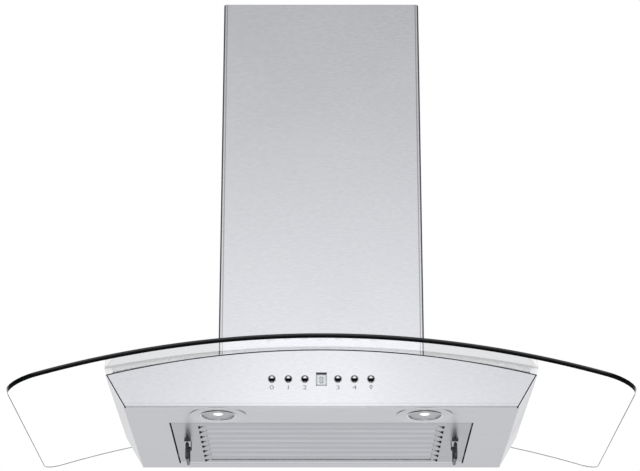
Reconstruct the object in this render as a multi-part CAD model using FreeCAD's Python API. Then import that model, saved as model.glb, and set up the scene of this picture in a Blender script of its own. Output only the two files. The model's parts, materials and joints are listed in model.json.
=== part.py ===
import FreeCAD
import Part
import math
import os

# Wall-mounted cooker hood with a bent glass canopy, in millimetres.
# X runs to the right, Y runs into the wall and Z runs up. The wall is the plane Y = 0.
# Heights are drawn from the flat underside of the hood, and every piece is then lowered
# so that the origin lies on the wall, in the middle of the four wall bolts.

# Glass canopy
glass_width = 900.0
glass_depth = 500.0
glass_thickness = 7.0
glass_bend_radius = 1450.0
glass_overhang = 53.0
glass_front_corner = 48.0
glass_rear_corner = 28.0
glass_cut_corner = 10.0
glass_cut_clearance = 3.0

# Hood body below the glass
body_wall_gap = 85.0
body_bottom_width = 565.0
body_top_width = 621.0
body_sheet = 1.0
roof_crown = 86.0
roof_glass_gap = 1.0
roof_extra_bend = 165.0
panel_fold_radius = 4.0
gasket_width = 1.6
gasket_depth = 6.0
seal_width = 8.0
seal_setback = 10.0
roof_inlet_side = 17.5
roof_inlet_edge = 16.5

# Baffle filter and its opening
filter_length = 441.0
filter_height = 20.0
filter_setback = 88.0
filter_rear_edge = 29.0
filter_end_rail = 22.1
handle_bay = 36.8
filter_side_gap = 2.6
filter_end_gap = 0.8
filter_sheet = 1.0
filter_rim = 8.0
slot_count = 8
slot_share = 0.258
drain_offset = 1.5
drain_length = 9.0
drain_depth_share = 0.6
web_clearance = 1.7
baffle_sheet = 0.8
lower_baffle_height = 8.0
upper_baffle_lap_share = 0.29
upper_baffle_drop = 13.0
baffle_slope_share = 0.122
edge_channel_foot = 8.0
lip_width = 6.0
clip_length = 40.0
clip_height = 12.0
clip_sheet = 0.5
clip_setback = 38.0

# Pull handles of the filter
handle_bar = 5.0
handle_span = 48.0
handle_drop = 22.0
handle_bend = 6.0
handle_pivot_depth = 4.5
ear_sheet = 2.0
ear_width = 10.0
ear_span = 28.0
ear_foot = 3.5
pivot_clearance = 0.05

# Lamps
lamp_spacing = 299.0
lamp_offset = -0.4
lamp_ring_width = 82.0
lamp_ring_drop = 1.6
lamp_ring_edge = 0.8
lamp_mouth = 47.6
lamp_neck_wall = 1.7
lamp_neck_height = 5.0
lamp_can_width = 62.0
lamp_can_wall = 4.5
lamp_can_height = 30.0
lamp_cavity_height = 20.0
lamp_hole_clearance = 1.0
lens_thickness = 2.5
lens_recess = 1.2
lens_clearance = 0.3

# Push buttons and display
button_width = 11.2
button_pitch = 23.7
button_offset = 1.4
button_dome = 3.4
button_travel = 2.5
button_flange_width = 14.0
button_flange_thickness = 1.0
button_stem = 5.0
button_side_count = 3
stem_length = 11.0
hole_clearance = 0.3
display_width = 15.0
display_height = 19.3
display_proud = 0.8
display_frame = 1.3
display_glass_inset = 0.6
display_glass_thickness = 1.8
control_margin = 20.9
control_height = 53.0
control_wall = 2.0
control_depth = 22.0
guide_setback = 6.0
guide_thickness = 3.0
board_thickness = 1.6
switch_width = 6.0
switch_clearance = 0.4

# Chimney covers
chimney_width = 314.0
chimney_depth = 280.0
chimney_top = 718.0
chimney_sheet = 1.0
chimney_corner = 6.0
chimney_flange = 16.0
chimney_glass_gap = 0.4
cover_gap = 0.8
upper_cover_length = 585.0
chimney_clip_top = 127.7
chimney_clip_height = 20.0
chimney_clip_length = 50.0
chimney_clip_sheet = 1.5
wall_gap = 0.6

# Ceiling-end bracket of the upper cover
bracket_side = 27.0
bracket_height = 20.0
bracket_sheet = 1.5
bracket_arm = 56.0
bracket_inset = 8.0
bracket_bolt_spacing = 180.0
bracket_bolt_hole = 6.5

# Motor box
box_side_gap = 19.5
box_front_gap = 8.0
box_top = 344.0
box_sheet = 1.2
box_flange = 9.0
box_lip = 12.0
wall_bolt_inset = 27.5
wall_bolt_spacing_z = 180.0
wall_bolt_hole = 8.5

# Glass clamps
clamp_width = 24.0
clamp_height = 26.0
clamp_sheet = 2.0
clamp_foot_gap = 1.0
clamp_rear = 60.0
clamp_front_setback = 32.0

# Blower
scroll_side_gap = 8.0
scroll_sheet = 1.2
scroll_gap_top = 10.0
scroll_gap_rear = 14.0
scroll_gap_bottom = 19.0
scroll_gap_front = 25.0
scroll_low_share = 0.28
outlet_depth = 100.0
inlet_inset = 22.0
wheel_width = 88.0
wheel_share = 5 / 17
blade_length = 14.0
blade_thickness = 1.0
blade_count = 30
blade_turn = 35.0
wheel_ring = 6.0
wheel_ring_thickness = 2.0
wheel_disc = 1.5
hub_width = 24.0
hub_length = 20.0
shaft_width = 8.0
shaft_length = 44.0
shaft_seat = 0.02
shaft_clearance = 0.05
motor_width = 84.0
motor_length = 60.0
motor_offset = 24.0
motor_bore_depth = 11.0
motor_edge = 4.0
spider_sheet = 2.0
spider_ring = 8.0
spider_arm_width = 14.0
spider_bolt_edge = 8.0
spider_arms = 3

# Capacitor
capacitor_width = 30.0
capacitor_length = 55.0
capacitor_rise = 39.0
capacitor_setback = 47.0
capacitor_stand_off = 4.0
band_height = 12.0
band_sheet = 1.5

# Outlet adaptor with its back-draught flaps
collar_width = 150.0
collar_wall = 2.5
collar_height = 60.0
adaptor_front_gap = 6.0
adaptor_rim = 1.0
adaptor_base_thickness = 3.0
adaptor_screw_inset = 8.0
ledge_width = 3.5
ledge_thickness = 2.0
ledge_height = 20.0
flap_clearance = 1.5
flap_thickness = 1.2
flap_barrel = 4.0
flap_pin = 3.0
flap_gap = 1.2
flap_barrel_clearance = 0.5

# Mains connection
junction_length = 80.0
junction_depth = 50.0
junction_height = 30.0
junction_wall = 2.0
gland_bore = 8.4
gland_thread = 12.0
gland_thread_length = 8.0
gland_flange = 18.0
gland_flange_thickness = 6.0
gland_nut = 16.0
gland_nut_length = 12.0

# Screws
screw_shank = 4.0
screw_length = 7.0
screw_head = 7.5
screw_head_height = 2.2
screw_clearance = 0.1

# Fits and cuts
seat_gap = 0.3
skin_gap = 0.1
overrun = 5.0

# Places worked out from the sizes above
glass_front = -glass_depth
glass_crown = roof_crown + roof_glass_gap
roof_arch_radius = glass_bend_radius - roof_extra_bend
panel_front = glass_front + glass_overhang
body_back = -body_wall_gap
body_bottom_half = body_bottom_width / 2
body_top_half = body_top_width / 2
body_bound = body_bottom_half + body_top_half
filter_depth = body_back - panel_front - filter_setback - filter_rear_edge
filter_y = panel_front + filter_setback + filter_depth / 2
slot_pitch = (filter_depth - 2 * filter_end_rail) / (slot_count - 1)
slot_width = slot_pitch * slot_share
baffle_slope = slot_pitch * baffle_slope_share
drain_depth = slot_pitch * drain_depth_share
lamp_y = panel_front + filter_setback / 2 + lamp_offset
button_height = roof_crown / 2 - button_offset
control_half = button_side_count * button_pitch + control_margin
control_low = button_height - control_height / 2
control_high = button_height + control_height / 2
chimney_half = chimney_width / 2
box_half = chimney_half - box_side_gap
box_depth = chimney_depth - box_front_gap
wall_bolt_height = (roof_crown + box_top) / 2
upper_inset = chimney_sheet + cover_gap
upper_half = chimney_half - upper_inset
upper_low = chimney_clip_top + seat_gap
glass_cut_half = box_half + box_flange + glass_cut_clearance
collar_radius = collar_width / 2
adaptor_half = collar_radius + adaptor_rim
outlet_y = adaptor_front_gap + adaptor_half - box_depth
junction_y = (outlet_y + adaptor_half) / 2
wheel_radius = box_depth * wheel_share
inlet_radius = wheel_radius - inlet_inset
scroll_half_width = wheel_width / 2 + scroll_side_gap
scroll_radius_top = wheel_radius + scroll_gap_top
scroll_radius_rear = wheel_radius + scroll_gap_rear
scroll_radius_bottom = wheel_radius + scroll_gap_bottom
scroll_radius_front = wheel_radius + scroll_gap_front
blower_centre_y = outlet_y - outlet_depth / 2 + scroll_radius_front
box_floor = roof_crown + skin_gap + box_sheet
scroll_room = box_top - box_sheet - box_floor - scroll_radius_top - scroll_radius_bottom
blower_centre_z = box_floor + scroll_room * scroll_low_share + scroll_radius_bottom
collar_inner = collar_radius - collar_wall
flap_low = box_top + ledge_height + ledge_thickness + seat_gap

ACROSS = FreeCAD.Vector(1, 0, 0)
INWARD = FreeCAD.Vector(0, 1, 0)
UPWARD = FreeCAD.Vector(0, 0, 1)
SIDES = (-1, 1)
FULL_TURN = 360
diagonal_share = math.sin(math.pi / 4)
upright_share = 0.9
clamp_screw_share = 0.67


def point(x, y, z):
    return FreeCAD.Vector(x, y, z)


def block(x0, x1, y0, y1, z0, z1):
    return Part.makeBox(x1 - x0, y1 - y0, z1 - z0, point(x0, y0, z0))


def rod(start, axis, radius, length):
    return Part.makeCylinder(radius, length, start, axis)


def tube(start, axis, outer, inner, length):
    return rod(start, axis, outer, length).cut(rod(start, axis, inner, length))


def polygon(points):
    return Part.Face(Part.makePolygon(points + points[:1]))


def mirrored(shape):
    return shape.mirror(point(0, 0, 0), ACROSS)


def on_side(shape, side):
    """Return the shape as drawn for the right side, or mirrored to the left."""
    return shape if side > 0 else mirrored(shape)


def joined(shapes):
    first = shapes[0]
    return first.fuse(shapes[1:]).removeSplitter() if len(shapes) > 1 else first


def group(shapes):
    return Part.makeCompound(shapes)


def rounded(shape, radius, test):
    """Round the nearly upright straight edges whose middle passes a test."""
    edges = []
    for edge in shape.Edges:
        if not isinstance(edge.Curve, Part.Line):
            continue
        if abs(edge.Curve.Direction.dot(UPWARD)) < upright_share:
            continue
        if test(edge.CenterOfMass):
            edges.append(edge)
    return shape.makeFillet(radius, edges)


def arch_height(x, radius, crown):
    """Height of an arch above the underside at a distance from its middle."""
    return crown - radius + math.sqrt(radius * radius - x * x)


def arch_block(radius, crown, y0, y1):
    """Everything below an arch, as a long round bar along Y."""
    return rod(point(0, y0, crown - radius), INWARD, radius, y1 - y0)


def roof_block(grow, y0, y1):
    return arch_block(roof_arch_radius + grow, roof_crown + grow, y0, y1)


def glass_block(grow, y0, y1):
    return arch_block(glass_bend_radius + grow, glass_crown + grow, y0, y1)


end_height = arch_height(body_top_half, roof_arch_radius, roof_crown)
lean = math.atan2(body_top_half - body_bottom_half, end_height)


def flare_block(inset, y0, y1):
    """The space between the two leaning sides, drawn in from them by an inset."""
    high = roof_crown + overrun
    lower = body_bottom_half - inset / math.cos(lean)
    upper = lower + high * math.tan(lean)
    outline = [point(-lower, y0, 0), point(lower, y0, 0), point(upper, y0, high), point(-upper, y0, high)]
    return polygon(outline).extrude(point(0, y1 - y0, 0))


def screw(start, axis, length=screw_length):
    """A pan-head screw whose head sits on a face at start and whose axis points into it."""
    head = rod(start - axis * screw_head_height, axis, screw_head / 2, screw_head_height)
    shank = rod(start, axis, screw_shank / 2, length)
    return head.fuse(shank).removeSplitter()


def screw_hole(start, axis, length=screw_length):
    reach = length + 2 * overrun
    return rod(start - axis * overrun, axis, screw_shank / 2 + screw_clearance, reach)


def clamp_places():
    """Where each glass clamp stands along the motor box, with its side."""
    return [(side, y) for side in SIDES for y in (clamp_front_setback - box_depth, -clamp_rear)]


def clamp_foot_height():
    return arch_height(glass_cut_half, glass_bend_radius, glass_crown) + glass_thickness + seat_gap


def clamp_screws():
    height = clamp_foot_height() + clamp_height * clamp_screw_share
    face = box_half + clamp_sheet
    return [(point(side * face, y, height), ACROSS * -side) for side, y in clamp_places()]


def cover_screws():
    low = roof_crown + box_lip
    high = box_top - box_lip
    heights = (low, (low + high) / 2, high)
    x = box_half - box_sheet - box_lip / 2
    return [(point(side * x, -box_depth, z), INWARD) for side in SIDES for z in heights]


def adaptor_screws():
    reach = adaptor_half - adaptor_screw_inset
    top = box_top + adaptor_base_thickness
    return [(point(sx * reach, outlet_y + sy * reach, top), -UPWARD) for sx in SIDES for sy in SIDES]


def spider_screws():
    screws = []
    radius = inlet_radius + spider_bolt_edge
    for arm in range(spider_arms):
        angle = 2 * math.pi * arm / spider_arms
        y = blower_centre_y + radius * math.sin(angle)
        z = blower_centre_z + radius * math.cos(angle)
        screws.append((point(scroll_half_width + spider_sheet, y, z), -ACROSS))
    return screws


def chimney_screw_places():
    y = -box_depth / 2
    z = chimney_clip_top - chimney_clip_height / 2
    return [(point(side * chimney_half, y, z), ACROSS * -side) for side in SIDES]


def bracket_screw_places():
    z = upper_low + upper_cover_length - bracket_inset - bracket_height / 2
    x = upper_half - chimney_sheet - skin_gap - bracket_sheet
    return [(point(side * x, -bracket_arm / 2, z), ACROSS * side) for side in SIDES]


def without_screws(shape, places, length=screw_length):
    return shape.cut([screw_hole(start, axis, length) for start, axis in places])


def glass_canopy():
    outer = glass_bend_radius + glass_thickness
    inner = glass_bend_radius
    centre = glass_crown - glass_bend_radius
    turn = math.asin(glass_width / 2 / outer)

    def on_arc(radius, angle):
        return point(radius * math.sin(angle), glass_front, centre + radius * math.cos(angle))

    edges = [
        Part.Arc(on_arc(outer, -turn), on_arc(outer, 0), on_arc(outer, turn)).toShape(),
        Part.LineSegment(on_arc(outer, turn), on_arc(inner, turn)).toShape(),
        Part.Arc(on_arc(inner, turn), on_arc(inner, 0), on_arc(inner, -turn)).toShape(),
        Part.LineSegment(on_arc(inner, -turn), on_arc(outer, -turn)).toShape(),
    ]
    sheet = Part.Face(Part.Wire(edges)).extrude(point(0, glass_depth, 0))
    middle_y = glass_front / 2
    sheet = rounded(sheet, glass_front_corner, lambda at: at.y < middle_y)
    sheet = rounded(sheet, glass_rear_corner, lambda at: at.y > middle_y)
    deep = box_depth + glass_cut_clearance
    notch = block(-glass_cut_half, glass_cut_half, -deep, overrun, 0, glass_crown + glass_thickness + overrun)
    notch = rounded(notch, glass_cut_corner, lambda at: at.y < -deep / 2)
    return sheet.cut(notch)


def glass_seals():
    """Silicone strips that fill the wedge between the steel roof and the glass."""
    front = panel_front + seal_setback
    back = body_back - seal_setback / 2
    half = body_top_half - seal_setback
    high = glass_crown + overrun
    outline = block(-half, half, front, back, 0, high)
    hollow = block(-half + seal_width, half - seal_width, front + seal_width, back - seal_width, 0, high)
    side_strips = outline.cut(hollow)
    inner_half = glass_cut_half + seal_width
    deep = box_depth + glass_cut_clearance
    collar = block(-inner_half, inner_half, -deep - seal_width, back - seal_width - skin_gap, 0, high)
    collar = collar.cut(block(-glass_cut_half, glass_cut_half, -deep, back, 0, high))
    passage = block(-glass_cut_half, glass_cut_half, back - 2 * seal_width, back, 0, high)
    strips = [side_strips.cut(passage), collar]
    strips = [strip.common(glass_block(-skin_gap, panel_front, 0)) for strip in strips]
    return group([strip.cut(roof_block(skin_gap, panel_front, 0)) for strip in strips])


def glass_clamps():
    low = clamp_foot_height()
    reach = chimney_half - chimney_sheet - clamp_foot_gap
    clamps = []
    for side, y in clamp_places():
        near, far = y - clamp_width / 2, y + clamp_width / 2
        leg = block(box_half, box_half + clamp_sheet, near, far, low, low + clamp_height)
        foot = block(box_half, reach, near, far, low, low + clamp_sheet)
        clamps.append(on_side(leg.fuse(foot).removeSplitter(), side))
    return group([without_screws(clamp, clamp_screws()) for clamp in clamps])


def panel_inset():
    return body_sheet + gasket_width


def button_places():
    """Button centres across the panel, with the display window between the two halves."""
    steps = [step for step in range(-button_side_count, button_side_count + 1) if step != 0]
    return [step * button_pitch for step in steps]


def front_panel():
    """Face plate whose lower edge is folded back to meet the underside."""
    fold = panel_fold_radius
    back = panel_front + body_sheet
    high = roof_crown + overrun
    half = body_bound
    face = block(-half, half, panel_front, back, fold, high)
    turn = tube(point(-half, panel_front + fold, fold), ACROSS, fold, fold - body_sheet, 2 * half)
    turn = turn.common(block(-half, half, panel_front, panel_front + fold, 0, fold))
    plate = face.fuse(turn)
    plate = plate.common(flare_block(panel_inset() + skin_gap, panel_front, panel_front + fold))
    plate = plate.common(roof_block(-gasket_width - skin_gap, panel_front, panel_front + fold))
    for x in button_places():
        hole = rod(point(x, panel_front - overrun, button_height), INWARD,
                   button_width / 2 + hole_clearance, 2 * overrun)
        plate = plate.cut(hole)
    wide = display_width / 2 + hole_clearance
    tall = display_height / 2 + hole_clearance
    window = block(-wide, wide, panel_front - overrun, panel_front + fold,
                   button_height - tall, button_height + tall)
    return plate.cut(window).removeSplitter()


def panel_gasket():
    """Dark strip around the face plate's arched top and two leaning ends."""
    back = panel_front + gasket_depth
    band = flare_block(body_sheet, panel_front, back).common(roof_block(0, panel_front, back))
    hollow = flare_block(panel_inset(), panel_front, back)
    return band.cut(hollow.common(roof_block(-gasket_width, panel_front, back)))


def side_panel(side):
    wall = flare_block(0, panel_front, body_back).cut(flare_block(body_sheet, panel_front, body_back))
    wall = wall.common(roof_block(0, panel_front, body_back))
    wall = wall.common(block(0, body_bound, panel_front, body_back, 0, roof_crown))
    return on_side(wall, side)


def roof_plate():
    front = panel_front + gasket_depth
    plate = roof_block(0, front, body_back).cut(roof_block(-body_sheet, front, body_back))
    plate = plate.common(flare_block(body_sheet, front, body_back))
    half = box_half - roof_inlet_side
    near, far = roof_inlet_edge - box_depth, body_back - roof_inlet_edge
    return plate.cut(block(-half, half, near, far, 0, roof_crown + overrun))


def rear_panel():
    front = body_back - body_sheet
    plate = flare_block(body_sheet, front, body_back).common(roof_block(-body_sheet, front, body_back))
    return plate.common(block(-body_bound, body_bound, front, body_back, body_sheet, roof_crown))


def opening_half():
    return filter_length / 2 + filter_side_gap


def opening_reach():
    return filter_depth / 2 + filter_end_gap


def bottom_panel():
    front = panel_front + panel_fold_radius
    plate = flare_block(body_sheet, front, body_back)
    plate = plate.common(block(-body_bound, body_bound, front, body_back, 0, body_sheet))
    wide, reach = opening_half(), opening_reach()
    opening = block(-wide, wide, filter_y - reach, filter_y + reach, -overrun, overrun)
    plate = plate.cut([opening, panel_gasket()])
    for side in SIDES:
        hole = rod(point(side * lamp_spacing / 2, lamp_y, -overrun), UPWARD,
                   lamp_can_width / 2 + lamp_hole_clearance, 2 * overrun)
        plate = plate.cut(hole)
    return plate


def filter_surround():
    """Upright walls round the filter opening, with a lip that stops the filter."""
    wide, reach = opening_half(), opening_reach()
    low = body_sheet
    lip = filter_height + seat_gap
    high = lip + body_sheet
    shell = block(-wide - body_sheet, wide + body_sheet,
                  filter_y - reach - body_sheet, filter_y + reach + body_sheet, low, high)
    shell = shell.cut(block(-wide, wide, filter_y - reach, filter_y + reach, low, lip))
    inner, deep = wide - lip_width, reach - lip_width
    return shell.cut(block(-inner, inner, filter_y - deep, filter_y + deep, low, high))


def slot_places():
    first = filter_y - slot_pitch * (slot_count - 1) / 2
    return [first + slot_pitch * step for step in range(slot_count)]


def web_place():
    return filter_length / 2 - handle_bay


def drain_start():
    return web_place() - web_clearance - drain_length


def slot_half():
    return drain_start() - drain_offset


def drain_holes(top):
    """Triangular openings at the ends of the slots, which let collected grease run out."""
    x0 = drain_start()
    holes = []
    for y in slot_places():
        front = y - slot_width / 2
        outline = [point(x0, front, -overrun), point(x0 + drain_length, front, -overrun),
                   point(x0 + drain_length, front + drain_depth, -overrun)]
        hole = polygon(outline).extrude(point(0, 0, top + overrun))
        holes += [on_side(hole, side) for side in SIDES]
    return holes


def filter_frame():
    half, reach = filter_length / 2, filter_depth / 2
    sheet = filter_sheet
    frame = block(-half, half, filter_y - reach, filter_y + reach, 0, filter_height)
    frame = frame.cut(block(-half + sheet, half - sheet, filter_y - reach + sheet, filter_y + reach - sheet,
                            sheet, filter_height - sheet))
    inner, deep = half - filter_rim, reach - filter_rim
    frame = frame.cut(block(-inner, inner, filter_y - deep, filter_y + deep, sheet, filter_height))
    slots = slot_places()
    front, back = slots[0] - slot_width / 2, slots[-1] + slot_width / 2
    frame = frame.cut(block(-slot_half(), slot_half(), front, back, -overrun, overrun))
    frame = frame.cut(drain_holes(overrun))
    x = web_place()
    webs = [on_side(block(x, x + sheet, filter_y - reach + sheet, filter_y + reach - sheet,
                          sheet, filter_height - sheet), side) for side in SIDES]
    return joined([frame] + webs)


def channel(half_length, outline):
    face = polygon([point(-half_length, y, z) for y, z in outline])
    return face.extrude(point(2 * half_length, 0, 0))


def edge_channel(y, outward):
    """Half a trough along an edge of the slot field: a leaning wall on a foot."""
    low, high = filter_sheet, filter_sheet + lower_baffle_height
    thick = baffle_sheet
    outline = [(0, high), (baffle_slope, low), (baffle_slope + edge_channel_foot, low),
               (baffle_slope + edge_channel_foot, low + thick), (baffle_slope + thick, low + thick), (thick, high)]
    return channel(web_place() - seat_gap, [(y + outward * out, z) for out, z in outline])


def lower_baffles():
    """Troughs between the slots, open upward, that rest on the frame's end plates."""
    half = (slot_pitch - slot_width) / 2
    low, high = filter_sheet, filter_sheet + lower_baffle_height
    thick = baffle_sheet
    troughs = []
    for y in slot_places()[:-1]:
        middle = y + slot_pitch / 2
        outline = [(middle - half, high), (middle - half + baffle_slope, low),
                   (middle + half - baffle_slope, low), (middle + half, high),
                   (middle + half - thick, high), (middle + half - baffle_slope - thick, low + thick),
                   (middle - half + baffle_slope + thick, low + thick), (middle - half + thick, high)]
        troughs.append(channel(web_place() - seat_gap, outline))
    troughs.insert(0, edge_channel(slot_places()[0] - slot_width / 2, -1))
    troughs.append(edge_channel(slot_places()[-1] + slot_width / 2, 1))
    return group([trough.cut(drain_holes(filter_height)) for trough in troughs])


def upper_baffles():
    """Caps above the slots, whose legs dip into the troughs so the air turns twice."""
    half = slot_width / 2 + (slot_pitch - slot_width) * upper_baffle_lap_share
    high = filter_height - filter_sheet - seat_gap
    low = high - upper_baffle_drop
    thick = baffle_sheet
    caps = []
    for y in slot_places():
        outline = [(y - half, low), (y - half + baffle_slope, high), (y + half - baffle_slope, high),
                   (y + half, low), (y + half - thick, low), (y + half - baffle_slope - thick, high - thick),
                   (y - half + baffle_slope + thick, high - thick), (y - half + thick, low)]
        caps.append(channel(web_place() - seat_gap, outline))
    return group(caps)


def handle_place():
    return (web_place() + filter_sheet + filter_length / 2) / 2


def handle_ears():
    ears = []
    for side in SIDES:
        for end in SIDES:
            inner = ear_span / 2 - ear_sheet
            y0 = filter_y + (inner if end > 0 else -ear_span / 2)
            x = handle_place()
            upright = block(x - ear_width / 2, x + ear_width / 2, y0, y0 + ear_sheet,
                            -handle_pivot_depth - ear_foot, 0)
            hole = rod(point(x, y0 - overrun, -handle_pivot_depth), INWARD,
                       handle_bar / 2 + pivot_clearance, ear_sheet + 2 * overrun)
            ears.append(on_side(upright.cut(hole), side))
    return group(ears)


def filter_handle(side):
    """A hanging bail of round bar with its ends turned in through the two ears."""
    x = handle_place()
    top = -handle_pivot_depth
    low = top - handle_drop
    bend = handle_bend
    half = handle_span / 2
    end = ear_span / 2 - ear_sheet - handle_bar / 2
    corner = bend * (1 - diagonal_share)

    def at(y, z):
        return point(x, filter_y + y, z)

    edges = [
        Part.LineSegment(at(-end, top), at(-half + bend, top)).toShape(),
        Part.Arc(at(-half + bend, top), at(-half + corner, top - corner), at(-half, top - bend)).toShape(),
        Part.LineSegment(at(-half, top - bend), at(-half, low + bend)).toShape(),
        Part.Arc(at(-half, low + bend), at(-half + corner, low + corner), at(-half + bend, low)).toShape(),
        Part.LineSegment(at(-half + bend, low), at(half - bend, low)).toShape(),
        Part.Arc(at(half - bend, low), at(half - corner, low + corner), at(half, low + bend)).toShape(),
        Part.LineSegment(at(half, low + bend), at(half, top - bend)).toShape(),
        Part.Arc(at(half, top - bend), at(half - corner, top - corner), at(half - bend, top)).toShape(),
        Part.LineSegment(at(half - bend, top), at(end, top)).toShape(),
    ]
    ring = Part.Wire(Part.Edge(Part.Circle(at(-end, top), INWARD, handle_bar / 2)))
    bar = Part.Wire(edges).makePipeShell([ring], True, False)
    return on_side(bar, side)


def filter_clips():
    """Leaf springs at the two ends of the filter that grip the upright walls."""
    clips = []
    high = filter_height / 2 + clip_height / 2
    low = filter_height / 2 - clip_height / 2
    x0 = filter_length / 2 + skin_gap
    bulge = filter_side_gap - 2 * skin_gap
    for side in SIDES:
        for end in SIDES:
            y = filter_y + end * (filter_depth / 2 - clip_setback)
            half = clip_length / 2
            outline = [point(x0, y - half, low), point(x0 + clip_sheet, y - half, low),
                       point(x0 + bulge, y, low), point(x0 + clip_sheet, y + half, low),
                       point(x0, y + half, low), point(x0 + bulge - clip_sheet, y, low)]
            clips.append(on_side(polygon(outline).extrude(point(0, 0, high - low)), side))
    return group(clips)


def turned(profile, x, y):
    """A solid of revolution about an upright axis, from radius and height pairs."""
    face = polygon([point(x + radius, y, z) for radius, z in profile])
    return face.revolve(point(x, y, 0), UPWARD, FULL_TURN)


def lamp_ring(side):
    outer = lamp_ring_width / 2
    mouth = lamp_mouth / 2
    neck = mouth + lamp_neck_wall
    profile = [(mouth, -lamp_ring_drop), (mouth, lamp_neck_height), (neck, lamp_neck_height),
               (neck, -skin_gap), (outer, -skin_gap), (outer, -lamp_ring_edge), (neck, -lamp_ring_drop)]
    return turned(profile, side * lamp_spacing / 2, lamp_y)


def lamp_lens(side):
    start = point(side * lamp_spacing / 2, lamp_y, lens_recess)
    return rod(start, UPWARD, lamp_mouth / 2 - lens_clearance, lens_thickness)


def lamp_can(side):
    x = side * lamp_spacing / 2
    can = rod(point(x, lamp_y, skin_gap), UPWARD, lamp_can_width / 2, lamp_can_height)
    hollow = rod(point(x, lamp_y, 0), UPWARD, lamp_can_width / 2 - lamp_can_wall, lamp_cavity_height)
    return can.cut(hollow)


def push_button(x):
    """A domed cap with a collar behind the panel and a stem in its guide."""
    radius = button_width / 2
    face = panel_front
    dome = button_dome
    collar_front = panel_front + body_sheet + hole_clearance
    collar_back = collar_front + button_flange_thickness
    tip = point(x, face - dome, button_height)
    shoulder = point(x + radius, face, button_height)
    middle = point(x + radius * diagonal_share, face - dome * diagonal_share, button_height)
    outline = [
        Part.Arc(tip, middle, shoulder).toShape(),
        Part.LineSegment(shoulder, point(x + radius, collar_front, button_height)).toShape(),
    ]
    stops = [point(x + radius, collar_front, button_height),
             point(x + button_flange_width / 2, collar_front, button_height),
             point(x + button_flange_width / 2, collar_back, button_height),
             point(x + button_stem / 2, collar_back, button_height),
             point(x + button_stem / 2, collar_back + stem_length, button_height),
             point(x, collar_back + stem_length, button_height), tip]
    for start, end in zip(stops, stops[1:]):
        outline.append(Part.LineSegment(start, end).toShape())
    face = Part.Face(Part.Wire(outline))
    return face.revolve(point(x, 0, button_height), INWARD, FULL_TURN)


def guide_front():
    return panel_front + body_sheet + guide_setback


def board_front():
    return panel_front + body_sheet + control_depth


def control_housing():
    half = control_half
    front, back = panel_front + body_sheet, board_front()
    wall = control_wall
    shell = block(-half, half, front, back, control_low, control_high)
    shell = shell.cut(block(-half + wall, half - wall, front, back, control_low + wall, control_high - wall))
    guide = block(-half, half, guide_front(), guide_front() + guide_thickness, control_low, control_high)
    housing = shell.fuse(guide).removeSplitter()
    for x in button_places():
        bore = rod(point(x, guide_front() - overrun, button_height), INWARD,
                   button_stem / 2 + pivot_clearance, guide_thickness + 2 * overrun)
        housing = housing.cut(bore)
    return housing


def control_board():
    back = board_front() + board_thickness
    return block(-control_half, control_half, board_front(), back, control_low, control_high)


def tact_switches():
    half = switch_width / 2
    stem_end = panel_front + body_sheet + hole_clearance + button_flange_thickness + stem_length
    front = stem_end + button_travel + switch_clearance
    return group([block(x - half, x + half, front, board_front(), button_height - half, button_height + half)
                  for x in button_places()])


def display_bezel():
    wide, tall = display_width / 2, display_height / 2
    front = panel_front - display_proud
    shell = block(-wide, wide, front, guide_front(), button_height - tall, button_height + tall)
    wide, tall = wide - display_frame, tall - display_frame
    return shell.cut(block(-wide, wide, front, guide_front(), button_height - tall, button_height + tall))


def display_window():
    wide = display_width / 2 - display_frame - skin_gap
    tall = display_height / 2 - display_frame - skin_gap
    front = panel_front - display_proud + display_glass_inset
    back = front + display_glass_thickness
    return block(-wide, wide, front, back, button_height - tall, button_height + tall)


def cover_profile(half, front, back, flange, corner, z0, z1):
    """A three-sided sheet cover with two flanges turned in along the wall."""
    sheet = chimney_sheet
    outer = block(-half, half, front, back, z0, z1)
    outer = rounded(outer, corner, lambda at: at.y < (front + back) / 2)
    inner = block(-half + sheet, half - sheet, front + sheet, back - sheet, z0, z1)
    inner = rounded(inner, corner - sheet, lambda at: at.y < (front + back) / 2)
    gap = half - flange
    return outer.cut(inner).cut(block(-gap, gap, back - sheet, back, z0, z1))


def chimney_lower():
    cover = cover_profile(chimney_half, -chimney_depth, 0, chimney_flange, chimney_corner,
                          end_height, chimney_top)
    cover = cover.cut(glass_block(glass_thickness + chimney_glass_gap, -chimney_depth, 0))
    return without_screws(cover, chimney_screw_places())


def chimney_upper():
    back = -chimney_sheet - wall_gap
    cover = cover_profile(upper_half, -chimney_depth + upper_inset, back, chimney_flange,
                          chimney_corner - upper_inset, upper_low, upper_low + upper_cover_length)
    return without_screws(cover, bracket_screw_places())


def chimney_clips():
    """Bridges from the motor box to the lower cover, which also stop the upper one."""
    sheet = chimney_clip_sheet
    high, low = chimney_clip_top, chimney_clip_top - chimney_clip_height
    near, far = -(box_depth + chimney_clip_length) / 2, -(box_depth - chimney_clip_length) / 2
    reach = chimney_half - chimney_sheet
    inner = block(box_half, box_half + sheet, near, far, low, high)
    bridge = block(box_half, reach, near, far, high - sheet, high)
    outer = block(reach - sheet, reach, near, far, low, high)
    clip = joined([inner, bridge, outer])
    return group([without_screws(on_side(clip, side), chimney_screw_places()) for side in SIDES])


def chimney_screws():
    length = chimney_clip_sheet + chimney_sheet
    return group([screw(start, axis, length) for start, axis in chimney_screw_places()])


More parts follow.
